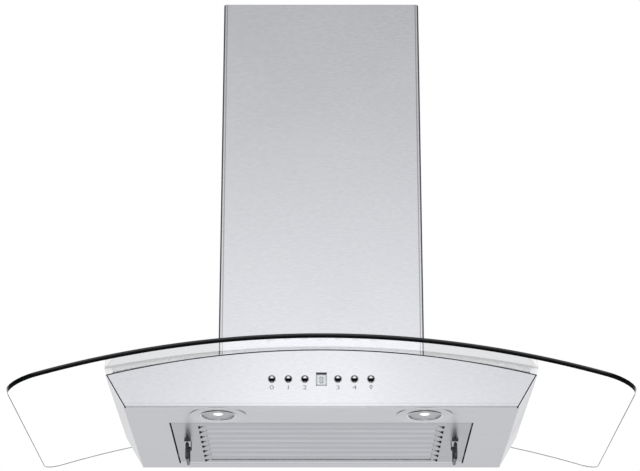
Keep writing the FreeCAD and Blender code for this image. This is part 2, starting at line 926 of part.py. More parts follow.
def upper_bracket():
    """A stepped strap that holds the upper cover to the wall near the ceiling."""
    sheet = bracket_sheet
    high = upper_low + upper_cover_length - bracket_inset
    low = high - bracket_height
    half = chimney_half - bracket_side
    flange_front = -2 * chimney_sheet - wall_gap
    shelf_back = flange_front - seat_gap
    shelf_front = shelf_back - sheet
    reach = upper_half - chimney_sheet - skin_gap
    pieces = [block(-half, half, -sheet, 0, low, high)]
    for side in SIDES:
        jog = block(half - sheet, half, shelf_front, 0, low, high)
        shelf = block(half - sheet, reach, shelf_front, shelf_back, low, high)
        arm = block(reach - sheet, reach, -bracket_arm, shelf_back, low, high)
        pieces += [on_side(piece, side) for piece in (jog, shelf, arm)]
    bracket = without_screws(joined(pieces), bracket_screw_places())
    for side in SIDES:
        hole = rod(point(side * bracket_bolt_spacing / 2, -overrun, (low + high) / 2), INWARD,
                   bracket_bolt_hole / 2, 2 * overrun)
        bracket = bracket.cut(hole)
    return bracket


def bracket_screws():
    length = bracket_sheet + skin_gap + chimney_sheet
    return group([screw(start, axis, length) for start, axis in bracket_screw_places()])


def above_roof(shape):
    return shape.cut(roof_block(skin_gap, -box_depth, 0))


def motor_box_back():
    """Wall plate whose four holes take the bolts that carry the hood."""
    plate = above_roof(block(-box_half, box_half, -box_sheet, 0, 0, box_top))
    half_x, half_z = box_half - wall_bolt_inset, wall_bolt_spacing_z / 2
    for sx in SIDES:
        for sz in SIDES:
            hole = rod(point(sx * half_x, -overrun, wall_bolt_height + sz * half_z), INWARD,
                       wall_bolt_hole / 2, 2 * overrun)
            plate = plate.cut(hole)
    return plate


def motor_box_sides():
    """Side plates with a lip for the cover and a foot that lies on the roof's arch."""
    sheet = box_sheet
    front = -box_depth + sheet
    top = box_top - sheet
    plates = []
    for side in SIDES:
        wall = block(box_half - sheet, box_half, front, -sheet, 0, top)
        lip = block(box_half - sheet - box_lip, box_half - sheet, front, front + sheet, 0, top)
        foot = roof_block(skin_gap + sheet, front, -sheet)
        foot = foot.common(block(box_half - sheet, box_half + box_flange, front, -sheet, 0, top))
        plate = on_side(above_roof(joined([wall, lip, foot])), side)
        plates.append(without_screws(plate, clamp_screws() + cover_screws()))
    return group(plates)


def motor_box_top():
    front = -box_depth + box_sheet
    plate = block(-box_half, box_half, front, -box_sheet, box_top - box_sheet, box_top)
    reach = outlet_depth / 2 - scroll_sheet
    wide = scroll_half_width - scroll_sheet
    outlet = block(-wide, wide, outlet_y - reach, outlet_y + reach, box_top - overrun, box_top + overrun)
    lead = rod(point(0, junction_y, box_top - overrun), UPWARD, gland_bore / 2, 2 * overrun)
    return without_screws(plate.cut([outlet, lead]), adaptor_screws())


def motor_box_cover():
    cover = block(-box_half, box_half, -box_depth, -box_depth + box_sheet, 0, box_top)
    return without_screws(above_roof(cover), cover_screws())


def motor_box_floor():
    half = box_half - box_sheet - skin_gap
    back = -box_sheet - skin_gap
    floor = roof_block(skin_gap + box_sheet, body_back, back)
    floor = floor.common(block(-half, half, body_back, back, 0, box_top))
    return floor.cut(roof_block(skin_gap, body_back, back))


def scroll_face(x, grow, top):
    """Outline of the volute: a growing spiral that leaves straight up at the front."""
    y0, z0 = blower_centre_y, blower_centre_z
    rear, bottom = scroll_radius_rear + grow, scroll_radius_bottom + grow
    front = scroll_radius_front + grow
    cut_off = outlet_y + outlet_depth / 2 + grow
    corner = diagonal_share * (bottom + front) / 2
    tongue = point(x, cut_off, z0 + scroll_radius_top + grow)
    base = point(x, y0, z0 - bottom)
    nose = point(x, y0 - front, z0)
    edges = [
        Part.LineSegment(point(x, cut_off, top), tongue).toShape(),
        Part.Arc(tongue, point(x, y0 + rear, z0), base).toShape(),
        Part.Arc(base, point(x, y0 - corner, z0 - corner), nose).toShape(),
        Part.LineSegment(nose, point(x, y0 - front, top)).toShape(),
        Part.LineSegment(point(x, y0 - front, top), point(x, cut_off, top)).toShape(),
    ]
    return Part.Face(Part.Wire(edges))


def scroll_half(side):
    top = box_top - box_sheet
    sheet = scroll_sheet
    shell = scroll_face(0, 0, top).extrude(point(scroll_half_width, 0, 0))
    half = adaptor_half
    flange = block(0, half, outlet_y - half, outlet_y + half, top - sheet, top)
    shell = shell.fuse(flange)
    hollow = scroll_face(0, -sheet, top + overrun).extrude(point(scroll_half_width - sheet, 0, 0))
    centre = point(0, blower_centre_y, blower_centre_z)
    inlet = rod(centre, ACROSS, inlet_radius, scroll_half_width + overrun)
    shell = shell.cut([hollow, inlet]).removeSplitter()
    return without_screws(on_side(shell, side), adaptor_screws() + spider_screws())


def blower_wheel():
    """Double-inlet wheel: a centre disc, a ring at each end and blades leaning forward."""
    half = wheel_width / 2
    centre = point(-half, blower_centre_y, blower_centre_z)
    inner = wheel_radius - blade_length

    def along(x):
        return point(x, blower_centre_y, blower_centre_z)

    disc = rod(along(-wheel_disc / 2), ACROSS, wheel_radius, wheel_disc)
    hub = rod(along(-hub_length / 2), ACROSS, hub_width / 2, hub_length)
    rings = [tube(along(x), ACROSS, wheel_radius, wheel_radius - wheel_ring, wheel_ring_thickness)
             for x in (-half, half - wheel_ring_thickness)]
    blades = []
    for step in range(blade_count):
        blade = block(-half, half, -blade_thickness / 2, blade_thickness / 2, 0, blade_length)
        blade.rotate(point(0, 0, 0), ACROSS, blade_turn)
        blade.translate(point(0, 0, inner))
        blade.rotate(point(0, 0, 0), ACROSS, FULL_TURN * step / blade_count)
        blade.translate(along(0))
        blades.append(blade)
    limit = rod(centre, ACROSS, wheel_radius, wheel_width)
    blades = [blade.common(limit) for blade in blades]
    wheel = disc.fuse([hub] + rings + blades)
    bore = rod(along(-hub_length), ACROSS, shaft_width / 2 + shaft_seat, 2 * hub_length)
    return wheel.cut(bore).removeSplitter()


def motor_shaft():
    start = point(-hub_length / 2, blower_centre_y, blower_centre_z)
    return rod(start, ACROSS, shaft_width / 2, shaft_length)


def motor():
    start = point(motor_offset, blower_centre_y, blower_centre_z)
    body = rod(start, ACROSS, motor_width / 2, motor_length)
    body = body.makeFillet(motor_edge, [edge for edge in body.Edges if isinstance(edge.Curve, Part.Circle)])
    return body.cut(rod(start, ACROSS, shaft_width / 2 + shaft_clearance, motor_bore_depth))


def motor_spider():
    start = point(scroll_half_width, blower_centre_y, blower_centre_z)
    bore = motor_width / 2 + skin_gap
    ring = rod(start, ACROSS, bore + spider_ring, spider_sheet)
    reach = inlet_radius + 2 * spider_bolt_edge
    arms = []
    for arm in range(spider_arms):
        strip = block(0, spider_sheet, -spider_arm_width / 2, spider_arm_width / 2, 0, reach)
        strip.rotate(point(0, 0, 0), ACROSS, -FULL_TURN * arm / spider_arms)
        strip.translate(start)
        arms.append(strip)
    spider = ring.fuse(arms).cut(rod(start, ACROSS, bore, spider_sheet)).removeSplitter()
    return without_screws(spider, spider_screws())


def capacitor_place():
    x = -box_half + box_sheet + capacitor_stand_off + capacitor_width / 2
    return point(x, capacitor_setback - box_depth, roof_crown + capacitor_rise)


def capacitor():
    return rod(capacitor_place(), UPWARD, capacitor_width / 2, capacitor_length)


def capacitor_band():
    place = capacitor_place() + UPWARD * (capacitor_length / 2)
    radius = capacitor_width / 2 + skin_gap
    wall = -box_half + box_sheet
    foot = block(wall, place.x, place.y - radius, place.y + radius, place.z, place.z + band_height)
    band = rod(place, UPWARD, radius + band_sheet, band_height).fuse(foot)
    return band.cut(rod(place, UPWARD, radius, band_height)).removeSplitter()


def hinge_offset():
    return (flap_barrel + flap_gap) / 2


def hinge_height():
    return flap_low + flap_barrel / 2


def outlet_adaptor():
    half = adaptor_half
    base = block(-half, half, outlet_y - half, outlet_y + half, box_top, box_top + adaptor_base_thickness)
    start = point(0, outlet_y, box_top)
    collar = rod(start, UPWARD, collar_radius, collar_height)
    adaptor = base.fuse(collar).cut(rod(start, UPWARD, collar_inner, collar_height))
    ledge = tube(point(0, outlet_y, box_top + ledge_height), UPWARD,
                 collar_inner + collar_wall / 2, collar_inner - ledge_width, ledge_thickness)
    adaptor = adaptor.fuse(ledge).removeSplitter()
    for side in SIDES:
        hole = rod(point(-collar_radius - overrun, outlet_y + side * hinge_offset(), hinge_height()), ACROSS,
                   flap_pin / 2 + pivot_clearance, 2 * (collar_radius + overrun))
        adaptor = adaptor.cut(hole)
    return without_screws(adaptor, adaptor_screws())


def damper_flap(side):
    """Half of a round flap with a hinge barrel and two pins along its straight edge."""
    radius = collar_inner - flap_clearance
    axis_y = outlet_y + side * hinge_offset()
    plate = rod(point(0, outlet_y, flap_low), UPWARD, radius, flap_thickness)
    near, far = (axis_y, outlet_y + radius) if side > 0 else (outlet_y - radius, axis_y)
    plate = plate.common(block(-radius, radius, near, far, flap_low, flap_low + flap_thickness))
    half = collar_inner - flap_barrel_clearance - flap_clearance
    barrel = rod(point(-half, axis_y, hinge_height()), ACROSS, flap_barrel / 2, 2 * half)
    reach = collar_radius - flap_barrel_clearance
    pin = rod(point(-reach, axis_y, hinge_height()), ACROSS, flap_pin / 2, 2 * reach)
    return joined([plate, barrel, pin])


def junction_box():
    half, deep = junction_length / 2, junction_depth / 2
    wall = junction_wall
    case = block(-half, half, junction_y - deep, junction_y + deep, box_top, box_top + junction_height)
    hollow = block(-half + wall, half - wall, junction_y - deep + wall, junction_y + deep - wall,
                   box_top + wall, box_top + junction_height - wall)
    hole = rod(point(0, junction_y, box_top + junction_height - overrun), UPWARD,
               gland_thread / 2 + skin_gap, 2 * overrun)
    passage = rod(point(0, junction_y, box_top - overrun), UPWARD, gland_bore / 2, 2 * overrun)
    return case.cut([hollow, hole, passage])


def cable_gland():
    top = box_top + junction_height
    start = point(0, junction_y, top - gland_thread_length)
    thread = rod(start, UPWARD, gland_thread / 2, gland_thread_length)
    flange = rod(point(0, junction_y, top), UPWARD, gland_flange / 2, gland_flange_thickness)
    nut_low = top + gland_flange_thickness
    nut = rod(point(0, junction_y, nut_low), UPWARD, gland_nut / 2, gland_nut_length)
    length = gland_thread_length + gland_flange_thickness + gland_nut_length
    bore = rod(start, UPWARD, gland_bore / 2, length)
    return joined([thread, flange, nut]).cut(bore)


def housing_screws():
    screws = [screw(start, axis, clamp_sheet + box_sheet) for start, axis in clamp_screws()]
    screws += [screw(start, axis) for start, axis in cover_screws() + adaptor_screws() + spider_screws()]
    return group(screws)


def build_pieces():
    pieces = {
        "glass_canopy": glass_canopy(),
        "glass_seals": glass_seals(),
        "glass_clamps": glass_clamps(),
        "front_panel": front_panel(),
        "panel_gasket": panel_gasket(),
        "side_panel_left": side_panel(-1),
        "side_panel_right": side_panel(1),
        "roof_plate": roof_plate(),
        "rear_panel": rear_panel(),
        "bottom_panel": bottom_panel(),
        "filter_surround": filter_surround(),
        "filter_frame": filter_frame(),
        "lower_baffles": lower_baffles(),
        "upper_baffles": upper_baffles(),
        "handle_ears": handle_ears(),
        "filter_handle_left": filter_handle(-1),
        "filter_handle_right": filter_handle(1),
        "filter_clips": filter_clips(),
        "control_housing": control_housing(),
        "control_board": control_board(),
        "tact_switches": tact_switches(),
        "display_bezel": display_bezel(),
        "display_window": display_window(),
        "chimney_lower": chimney_lower(),
        "chimney_upper": chimney_upper(),
        "chimney_clips": chimney_clips(),
        "chimney_screws": chimney_screws(),
        "upper_bracket": upper_bracket(),
        "bracket_screws": bracket_screws(),
        "motor_box_back": motor_box_back(),
        "motor_box_sides": motor_box_sides(),
        "motor_box_top": motor_box_top(),
        "motor_box_cover": motor_box_cover(),
        "motor_box_floor": motor_box_floor(),
        "scroll_left": scroll_half(-1),
        "scroll_right": scroll_half(1),
        "blower_wheel": blower_wheel(),
        "motor_shaft": motor_shaft(),
        "motor": motor(),
        "motor_spider": motor_spider(),
        "capacitor": capacitor(),
        "capacitor_band": capacitor_band(),
        "outlet_adaptor": outlet_adaptor(),
        "damper_flap_front": damper_flap(-1),
        "damper_flap_rear": damper_flap(1),
        "junction_box": junction_box(),
        "cable_gland": cable_gland(),
        "housing_screws": housing_screws(),
    }
    for side, word in ((-1, "left"), (1, "right")):
        pieces["lamp_ring_" + word] = lamp_ring(side)
        pieces["lamp_lens_" + word] = lamp_lens(side)
        pieces["lamp_can_" + word] = lamp_can(side)
    for number, x in enumerate(button_places(), start=1):
        pieces["button_" + str(number)] = push_button(x)
    return pieces


def main():
    os.makedirs("parts", exist_ok=True)
    for name, shape in build_pieces().items():
        shape.translate(point(0, 0, -wall_bolt_height))
        shape.exportStep(os.path.join("parts", name + ".step"))
        box = shape.BoundBox
        print(name, len(shape.Solids), shape.isValid(), round(shape.Volume),
              [round(value, 1) for value in (box.XMin, box.XMax, box.YMin, box.YMax, box.ZMin, box.ZMax)])


main()
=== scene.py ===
"""Studio scene of a wall hood with a bent glass canopy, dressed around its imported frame.

Laid out as an add-on: sizes and colours are properties, and each group of pieces has an operator.
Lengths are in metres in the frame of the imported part: X to the right, Y into the wall, Z up.
"""

import json
import math
from functools import cache

import bmesh
import bpy
from mathutils import Matrix, Vector


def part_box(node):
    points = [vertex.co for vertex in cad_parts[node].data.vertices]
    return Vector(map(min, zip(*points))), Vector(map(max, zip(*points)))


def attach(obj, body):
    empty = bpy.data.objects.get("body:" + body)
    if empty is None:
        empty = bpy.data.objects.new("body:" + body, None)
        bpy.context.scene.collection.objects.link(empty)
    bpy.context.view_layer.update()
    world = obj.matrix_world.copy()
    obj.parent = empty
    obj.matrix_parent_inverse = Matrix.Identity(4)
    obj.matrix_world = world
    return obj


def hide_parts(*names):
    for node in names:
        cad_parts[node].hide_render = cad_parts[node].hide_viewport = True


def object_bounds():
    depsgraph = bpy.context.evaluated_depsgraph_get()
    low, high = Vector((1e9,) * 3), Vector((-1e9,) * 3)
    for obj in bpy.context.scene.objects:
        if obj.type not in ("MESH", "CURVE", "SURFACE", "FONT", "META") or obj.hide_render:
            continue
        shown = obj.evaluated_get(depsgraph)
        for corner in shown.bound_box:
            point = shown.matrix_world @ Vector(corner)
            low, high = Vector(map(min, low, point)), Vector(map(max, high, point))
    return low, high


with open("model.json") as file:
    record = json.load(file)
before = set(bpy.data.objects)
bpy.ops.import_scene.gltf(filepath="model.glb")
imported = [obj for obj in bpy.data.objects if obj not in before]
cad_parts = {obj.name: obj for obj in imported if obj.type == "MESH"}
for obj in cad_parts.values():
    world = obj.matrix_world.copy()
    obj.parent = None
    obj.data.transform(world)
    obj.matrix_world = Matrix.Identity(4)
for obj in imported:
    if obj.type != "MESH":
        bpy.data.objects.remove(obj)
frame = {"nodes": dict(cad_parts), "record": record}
CAD_LOW, CAD_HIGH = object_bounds()

bl_info = {
    "name": "Curved glass wall hood",
    "version": (1, 0, 0),
    "blender": (4, 5, 0),
    "location": "View3D > Sidebar > Hood",
    "description": "Builds the looks of a wall hood with a bent glass canopy",
    "category": "Add Mesh",
}

MM = 0.001
MERGE = 0.001 * MM
INWARD = Vector((0, 1, 0))
UPWARD = Vector((0, 0, 1))
STAND_UP = Matrix.Rotation(math.radians(90), 4, "X")
BUTTONS = range(1, 7)
SIGNS = ["0", "1", "2", "3", "4", "lamp"]

# Edges that bend more than the first look sharp, and those of the pane that bend more than the second
# are rounded
SHARP_ANGLE = math.radians(35)
RIM_ANGLE = math.radians(50)
# How finely curves are cut
LATHE_STEPS = 64
DOME_STEPS = 12
BEAD_STEPS = 10
PANE_CORNER_STEPS = 8
FRAME_CORNER_STEPS = 6
EDGE_STEPS = 3
FLOOR_STEPS = 96

# Sockets of a colour Mix node: the share of the second colour, the first colour and the second
SHARE, FIRST, SECOND = 0, 6, 7
# Noise hardly ever leaves this span
NOISE_SPAN = {"From Min": 0.3, "From Max": 0.7}

# Size of a mark along X, Y and Z in mm, and haze: hairlines and rolling marks run along the longest
LEVEL = ((25, 1.25, 25), 0.26)
UPRIGHT = ((9.1, 9.1, 1.25), 0.24)
ROLLED = ((125, 2, 2), 0.26)
# The haze drifts by this much, over about this length in mm
HAZE_DRIFT = 0.015
HAZE_CLOUD = 143

# Painted shade lines beside the chimney's corners, for the reflections in its bends: (mm from the corner,
# share of the tone)
CHIMNEY_PAINTED_SHADE_LINES = [(6.6, 1.0), (6.2, 0.6), (5.0, 0.6), (4.6, 1.0), (2.8, 1.0), (2.5, 0.18), (0, 0.18)]
# Painted shade line over the front panel's lower fold: (mm above the fold, share of the tone)
PANEL_FOLD_PAINTED_SHADE = [(6.5, 1.0), (6.0, 0.9), (5.0, 0.9), (4.5, 0.97), (0, 0.97)]
# Painted light on the front panel: its tone falls towards its ends, as if lit in the middle: (mm from the
# middle, share of the tone)
PANEL_PAINTED_FALLOFF = [(0, 1.0), (60, 0.99), (116, 0.926), (175, 0.875), (219, 0.85), (270, 0.815), (300, 0.81)]
# How much brighter the front panel's middle is painted
PANEL_PAINTED_PEAK = 1.08
# Painted highlight along the rear edge of the filter's frame: its width, its fade and how much lighter it is
# painted
EDGE_PAINTED_HIGHLIGHT = 7 * MM
EDGE_PAINTED_HIGHLIGHT_FADE = 0.5 * MM
EDGE_PAINTED_HIGHLIGHT_SHINE = 1.6

FLOOR_FADE = (0.45, 0.98)
SOFTBOX_SIZE = (1.6, 1.2)
SOFTBOX_PLACE = Vector((0.0, -1.1, 2.3))
SOFTBOX_AIM = Vector((0, -0.2, 0))
CAMERA_CLIP = (0.05, 50.0)

# Brightness of the room by height above the horizon, in degrees, as brushed and mirror-bright metal see it
SKY_PEAK = 2.0
SKY = {
    "soft_front": [(-90, 0.9), (-40, 1.0), (-5, 1.3), (3, 1.45), (15, 1.4), (18, 1.3), (20.5, 0.85),
                   (24, 0.58), (32, 0.52), (60, 0.8), (90, 0.9)],
    "soft_back": [(-90, 0.85), (-30, 1.0), (-18, 0.9), (-12, 0.5), (-5, 0.8), (8, 1.15), (40, 1.0),
                  (90, 0.9)],
    "sharp_front": [(-90, 0.7), (-66, 0.7), (-54, 0.02), (12, 0.01), (18, 0.1), (26, 1.5), (50, 1.5),
                    (62, 0.5), (90, 0.3)],
    "sharp_back": [(-90, 0.9), (-82, 1.0), (60, 1.0), (70, 0.2), (90, 0.3)],
}
# Share of that brightness by turn from straight in front to straight behind, in degrees
TURN = {
    "soft": [(0, 1.06), (8, 0.96), (18, 0.96), (28, 0.8), (42, 1.05), (80, 1.05), (110, 0.25),
             (150, 0.25), (168, 1.0)],
    "sharp": [(0, 1.0), (20, 1.0), (42, 0.1), (110, 0.06), (130, 0.3), (142, 1.0)],
}
# The back of the room starts over this span of Y
BACK_SPAN = {"From Min": -0.25, "From Max": 0.25}
# How much brighter metal seen through the pane is lit, as the pane takes a third of its light away
GLASS_GAIN = 1.25
# Pale grey card behind the hood that only shows through the pane: its edges by turn and by height
CARD_TURN = (0.9664, 0.9670)
CARD_FOOT = (0.277, 0.280)
CARD_TOP = (0.34, 0.33)
CARD_SHINE = 0.8


def linear(hex_colour):
    """A hex colour as the screen shows it, turned into the linear values that shaders take."""
    shown = [int(hex_colour[i:i + 2], 16) / 255 for i in (0, 2, 4)]
    return [s / 12.92 if s <= 0.04045 else ((s + 0.055) / 1.055) ** 2.4 for s in shown]


def length(name, description, size):
    """A length that a user of the panel may change, given in mm."""
    return bpy.props.FloatProperty(name=name, description=description, default=size * MM, min=0.0,
                                   precision=4, unit="LENGTH")


def colour(name, description, hex_colour):
    """A colour that a user of the panel may change."""
    return bpy.props.FloatVectorProperty(name=name, description=description, subtype="COLOR", size=3,
                                         min=0.0, max=1.0, default=linear(hex_colour))


class HoodGlassSizes(bpy.types.PropertyGroup):
    """Sizes of the bent pane"""

    thickness: length("Thickness", "Thickness of the toughened pane", 7)
    bend_radius: length("Bend radius", "Radius of the pane's lower face", 1450)
    notch_half: length("Notch half width", "Half the width of the notch round the motor box", 149.5)
    notch_depth: length("Notch depth", "Depth of the notch from the wall", 275)
    front_corner: length("Front corners", "Radius of the two front corners", 48)
    rear_corner: length("Rear corners", "Radius of the two corners at the wall", 28)
    notch_corner: length("Notch corners", "Radius of the notch's inner corners", 10)
    edge_round: length("Edge rounding", "Rounding of the ground edge", 0.4)
    # Width of a strip along the two sides painted with the edge's dark tone
    side_painted_dark_strip: length("Side arris", "Width of the dark ground arris along the two sides", 0.35)
    facet: length("Facet width", "Width of the strips that follow the bend", 9)


class HoodControlSizes(bpy.types.PropertyGroup):
    """Sizes of the buttons, the display and the printed signs"""

    dome_radius: length("Dome radius", "Radius of a button's domed cap", 5.6)
    dome_height: length("Dome height", "How far a dome stands proud", 3.4)
    collar_radius: length("Collar radius", "Radius of the collar behind the panel", 7)
    collar_back: length("Collar's place", "How far the collar's front is behind the tip", 4.8)
    collar_sheet: length("Collar thickness", "Thickness of the collar", 1)
    stem_radius: length("Stem radius", "Radius of a button's stem", 2.5)
    frame_corner: length("Display corners", "Radius of the display frame's corners", 2.2)
    frame_wall: length("Display frame", "Width of the frame round the pane", 1.3)
    pane_depth: length("Pane depth", "How deep the frame's pocket is", 2.6)
    bar_height: length("Bar height", "Height of the dark bar over the display", 3.0)
    bar_inset: length("Bar inset", "How far the dark bar is inside the frame's top", 0.3)
    bar_sheet: length("Bar thickness", "Thickness of the dark bar", 0.2)
    digit_height: length("Digit height", "Height of the display's figure", 10)
    digit_width: length("Digit width", "Width of the display's figure", 5.4)
    digit_stroke: length("Digit stroke", "Width of the figure's bars", 1.3)
    label_height: length("Label height", "Height of the printed figures", 6.2)
    label_drop: length("Label drop", "How far the figures stand below the buttons' middle", 12.4)
    label_film: length("Label film", "Thickness of the printed ink", 0.05)
    label_stretch: bpy.props.FloatProperty(name="Label stretch", description="How wide the figures are drawn",
                                           default=1.5, min=0.5)


class HoodLampSizes(bpy.types.PropertyGroup):
    """Sizes of the lamp rings and the glow of their lenses"""

    mouth_radius: length("Mouth", "Radius of the lamp's opening", 23.8)
    neck_height: length("Neck", "Height of the neck round the lens", 5)
    rim_height: length("Rim", "Height of the ring's bright rim", 0.8)
    drop: length("Drop", "How far the ring hangs below the sheet", 1.6)
    bead_radius: length("Bead", "Radius of the bright bead round the mouth", 1.2)
    skin_gap: length("Gap to the sheet", "Gap between the ring and the sheet", 0.05)
    glow_core: length("Glow core", "Radius of the lens that is lit in full", 2.5)
    glow_reach: length("Glow reach", "Radius at which the lens's glow ends", 9)
    glow: bpy.props.FloatProperty(name="Glow", description="Strength of the lens's glow", default=1.6,
                                  min=0.0)


class HoodColours(bpy.types.PropertyGroup):
    """Colours of the hood's materials"""

    steel_light: colour("Steel, ridges", "Stainless steel where the grain stands proud", "D9DADE")
    steel_dark: colour("Steel, grooves", "Stainless steel in the grooves of its grain", "D0D1D6")
    # The leaning sides' steel is painted lighter than the front's, standing in for the extra light they catch
    side_light: colour("Side steel, ridges", "Steel of the two leaning sides", "DEDFE3")
    side_dark: colour("Side steel, grooves", "Steel of the two leaning sides in its grooves", "D5D6DB")
    filter_light: colour("Filter, ridges", "Rolled steel where its marks stand proud", "C0C1C6")
    filter_dark: colour("Filter, grooves", "Rolled steel in its marks", "B6B7BC")
    glass_tint: colour("Glass tint", "What the clear pane lets through", "FFFFFF")
    # The pane's edge is painted almost black, standing in for the shade and reflections seen in it
    glass_edge: colour("Glass edge", "Ground edge of the pane", "0B0C0D")
    chrome: colour("Chrome", "Chrome plate", "D4D6D8")
    # The handles' wire is painted dark, standing in for the dark reflections along it
    wire: colour("Wire", "Drawn wire of the filter's handles", "4A4C52")
    zinc_light: colour("Zinc, bright", "Bright spangle of galvanised sheet", "C4C9CC")
    zinc_dark: colour("Zinc, dull", "Dull spangle of galvanised sheet", "9DA3A7")
    aluminium: colour("Aluminium", "Spun aluminium", "BFC2C4")
    enamel: colour("Motor enamel", "Grey baked enamel", "4A4E52")
    black_plastic: colour("Black plastic", "Moulded black parts", "1B1C1E")
    grey_plastic: colour("Grey plastic", "Moulded grey parts", "6F7377")
    white_plastic: colour("White plastic", "Moulded white parts", "E6E6E2")
    gasket: colour("Gasket", "Black foam rubber", "17181A")
    silicone: colour("Silicone", "Clear cured silicone", "DDE3E4")
    board: colour("Circuit board", "Green solder mask", "1F5A38")
    pane: colour("Display pane", "Pale pane of the display", "DDE1E4")
    lens: colour("Lamp lens", "Grey of the lamps' unlit rim", "BFC1C5")
    ink: colour("Ink", "Printed figures", "85888C")
    floor: colour("Floor", "Pale studio floor", "E9E9E9")


class HoodStudio(bpy.types.PropertyGroup):
    """Places of the camera and the floor, and the softbox's power"""

    camera_distance: length("Camera distance", "How far the camera stands from the wall", 3376)
    camera_drop: length("Camera drop", "How far the camera is below the wall bolts' middle", 1016.5)
    camera_side: bpy.props.FloatProperty(name="Camera side", description="Camera's place along the wall",
                                         default=-2 * MM, unit="LENGTH")
    camera_pitch: bpy.props.FloatProperty(name="Camera pitch", description="How far the camera looks up",
                                          default=math.radians(19.93), unit="ROTATION")
    camera_lens: bpy.props.FloatProperty(name="Lens", description="Focal length", default=119.3,
                                         unit="CAMERA")
    floor_radius: length("Floor radius", "Radius of the pale floor", 1500)
    floor_drop: length("Floor drop", "How far the floor is below the wall bolts' middle", 1150)
    softbox_power: bpy.props.FloatProperty(name="Softbox power", description="Power of the overhead softbox",
                                           default=30.0, min=0.0, unit="POWER")


GROUPS = {
    "hood_glass": HoodGlassSizes,
    "hood_controls": HoodControlSizes,
    "hood_lamps": HoodLampSizes,
    "hood_colours": HoodColours,
    "hood_studio": HoodStudio,
}


def hues():
    """The colours that are set in the panel."""
    return bpy.context.scene.hood_colours


def shaded(hue, share):
    """The same colour, darker or lighter by a share."""
    return [min(1.0, channel * share) for channel in hue]


def opaque(hue):
    """A colour as a socket takes it."""
    return (*hue, 1.0)


def wire(tree, node, inputs):
    """Links each input to a socket or to a node's first output in use, or else sets its value."""
    for key, value in inputs.items():
        if isinstance(value, bpy.types.Node):
            value = next(socket for socket in value.outputs if socket.enabled)
        if isinstance(value, bpy.types.NodeSocket):
            tree.links.new(value, node.inputs[key])
        else:
            node.inputs[key].default_value = value


def add_node(tree, kind, inputs=None, **settings):
    """Adds a node with its settings and its inputs."""
    node = tree.nodes.new(kind)
    for key, value in settings.items():
        setattr(node, key, value)
    wire(tree, node, inputs or {})
    return node


def new_finish(name, sockets):
    """A new material, its tree, its shader with the sockets that are the same all over, and its places."""
    material = bpy.data.materials.new(name)
    material.use_nodes = True
    tree = material.node_tree
    shader = tree.nodes["Principled BSDF"]
    wire(tree, shader, sockets)
    return material, tree, shader, add_node(tree, "ShaderNodeTexCoord").outputs["Object"]


def light_band(tree, along, stops, peak=1.0):
    """A row of brightnesses, as shares of a peak, along a value from 0 to 1."""
    band = add_node(tree, "ShaderNodeValToRGB", {"Fac": along})
    marks = band.color_ramp.elements
    marks.remove(marks[1])
    for number, (place, shine) in enumerate(stops):
        mark = marks.new(place) if number else marks[0]
        mark.position = place
        mark.color = opaque([shine / peak] * 3)
    return band


def painted_light_bands(tree, place, shade, axis, stops, faced="Y"):
    """Paints bands of light and shade onto a sheet's tone, on faces that face one way: stops are (distance
    from the middle, share of the tone).
    """
    reach = stops[-1][0]
    parts = add_node(tree, "ShaderNodeSeparateXYZ", {"Vector": place})
    apart = add_node(tree, "ShaderNodeMath", {0: parts.outputs[axis]}, operation="ABSOLUTE")
    along = add_node(tree, "ShaderNodeMath", {0: apart, 1: reach}, operation="DIVIDE")
    shares = light_band(tree, along, [(distance / reach, share) for distance, share in stops])
    shape = add_node(tree, "ShaderNodeNewGeometry")
    facing = add_node(tree, "ShaderNodeSeparateXYZ", {"Vector": shape.outputs["Normal"]})
    frontal = add_node(tree, "ShaderNodeMapRange",
                       {"Value": facing.outputs[faced], "From Min": -0.1, "From Max": -0.3})
    return add_node(tree, "ShaderNodeMix", {SHARE: frontal, FIRST: shade, SECOND: shares},
                    data_type="RGBA", blend_type="MULTIPLY")


def brushed_stainless(name, rubbed, hue, painted_lift=1.0, painted_bands=()):
    """Stainless steel rubbed on a belt: fine parallel hairlines and soft, wide reflections.

    Real hairlines are about 0.1 mm wide, too fine for the render, so they are drawn about 1 mm wide.
    """
    grain, haze = rubbed
    light, dark = [shaded(getattr(hues(), f"{hue}_{tone}"), painted_lift) for tone in ("light", "dark")]
    material, tree, shader, place = new_finish(name, {"Metallic": 1.0})
    drawn = add_node(tree, "ShaderNodeMapping",
                     {"Vector": place, "Scale": [1 / (size * MM) for size in grain]})
    hairs = add_node(tree, "ShaderNodeTexNoise",
                     {"Vector": drawn, "Scale": 1.0, "Detail": 3.0, "Roughness": 0.6})
    depth = add_node(tree, "ShaderNodeMapRange", {"Value": hairs, **NOISE_SPAN})
    shade = add_node(tree, "ShaderNodeMix", {SHARE: depth, FIRST: opaque(dark), SECOND: opaque(light)},
                     data_type="RGBA")
    # Painted light and shade along bends, folds and edges, where given
    for painted_band in painted_bands:
        shade = painted_light_bands(tree, place, shade, *painted_band)
    clouds = add_node(tree, "ShaderNodeTexNoise", {"Vector": place, "Scale": 1 / (HAZE_CLOUD * MM)})
    polish = add_node(tree, "ShaderNodeMapRange", {"Value": clouds, **NOISE_SPAN, "To Min": haze - HAZE_DRIFT,
                                                   "To Max": haze + HAZE_DRIFT})
    relief = add_node(tree, "ShaderNodeBump", {"Height": hairs, "Strength": 0.1, "Distance": 0.02 * MM})
    wire(tree, shader, {"Base Color": shade, "Roughness": polish, "Normal": relief})
    return material


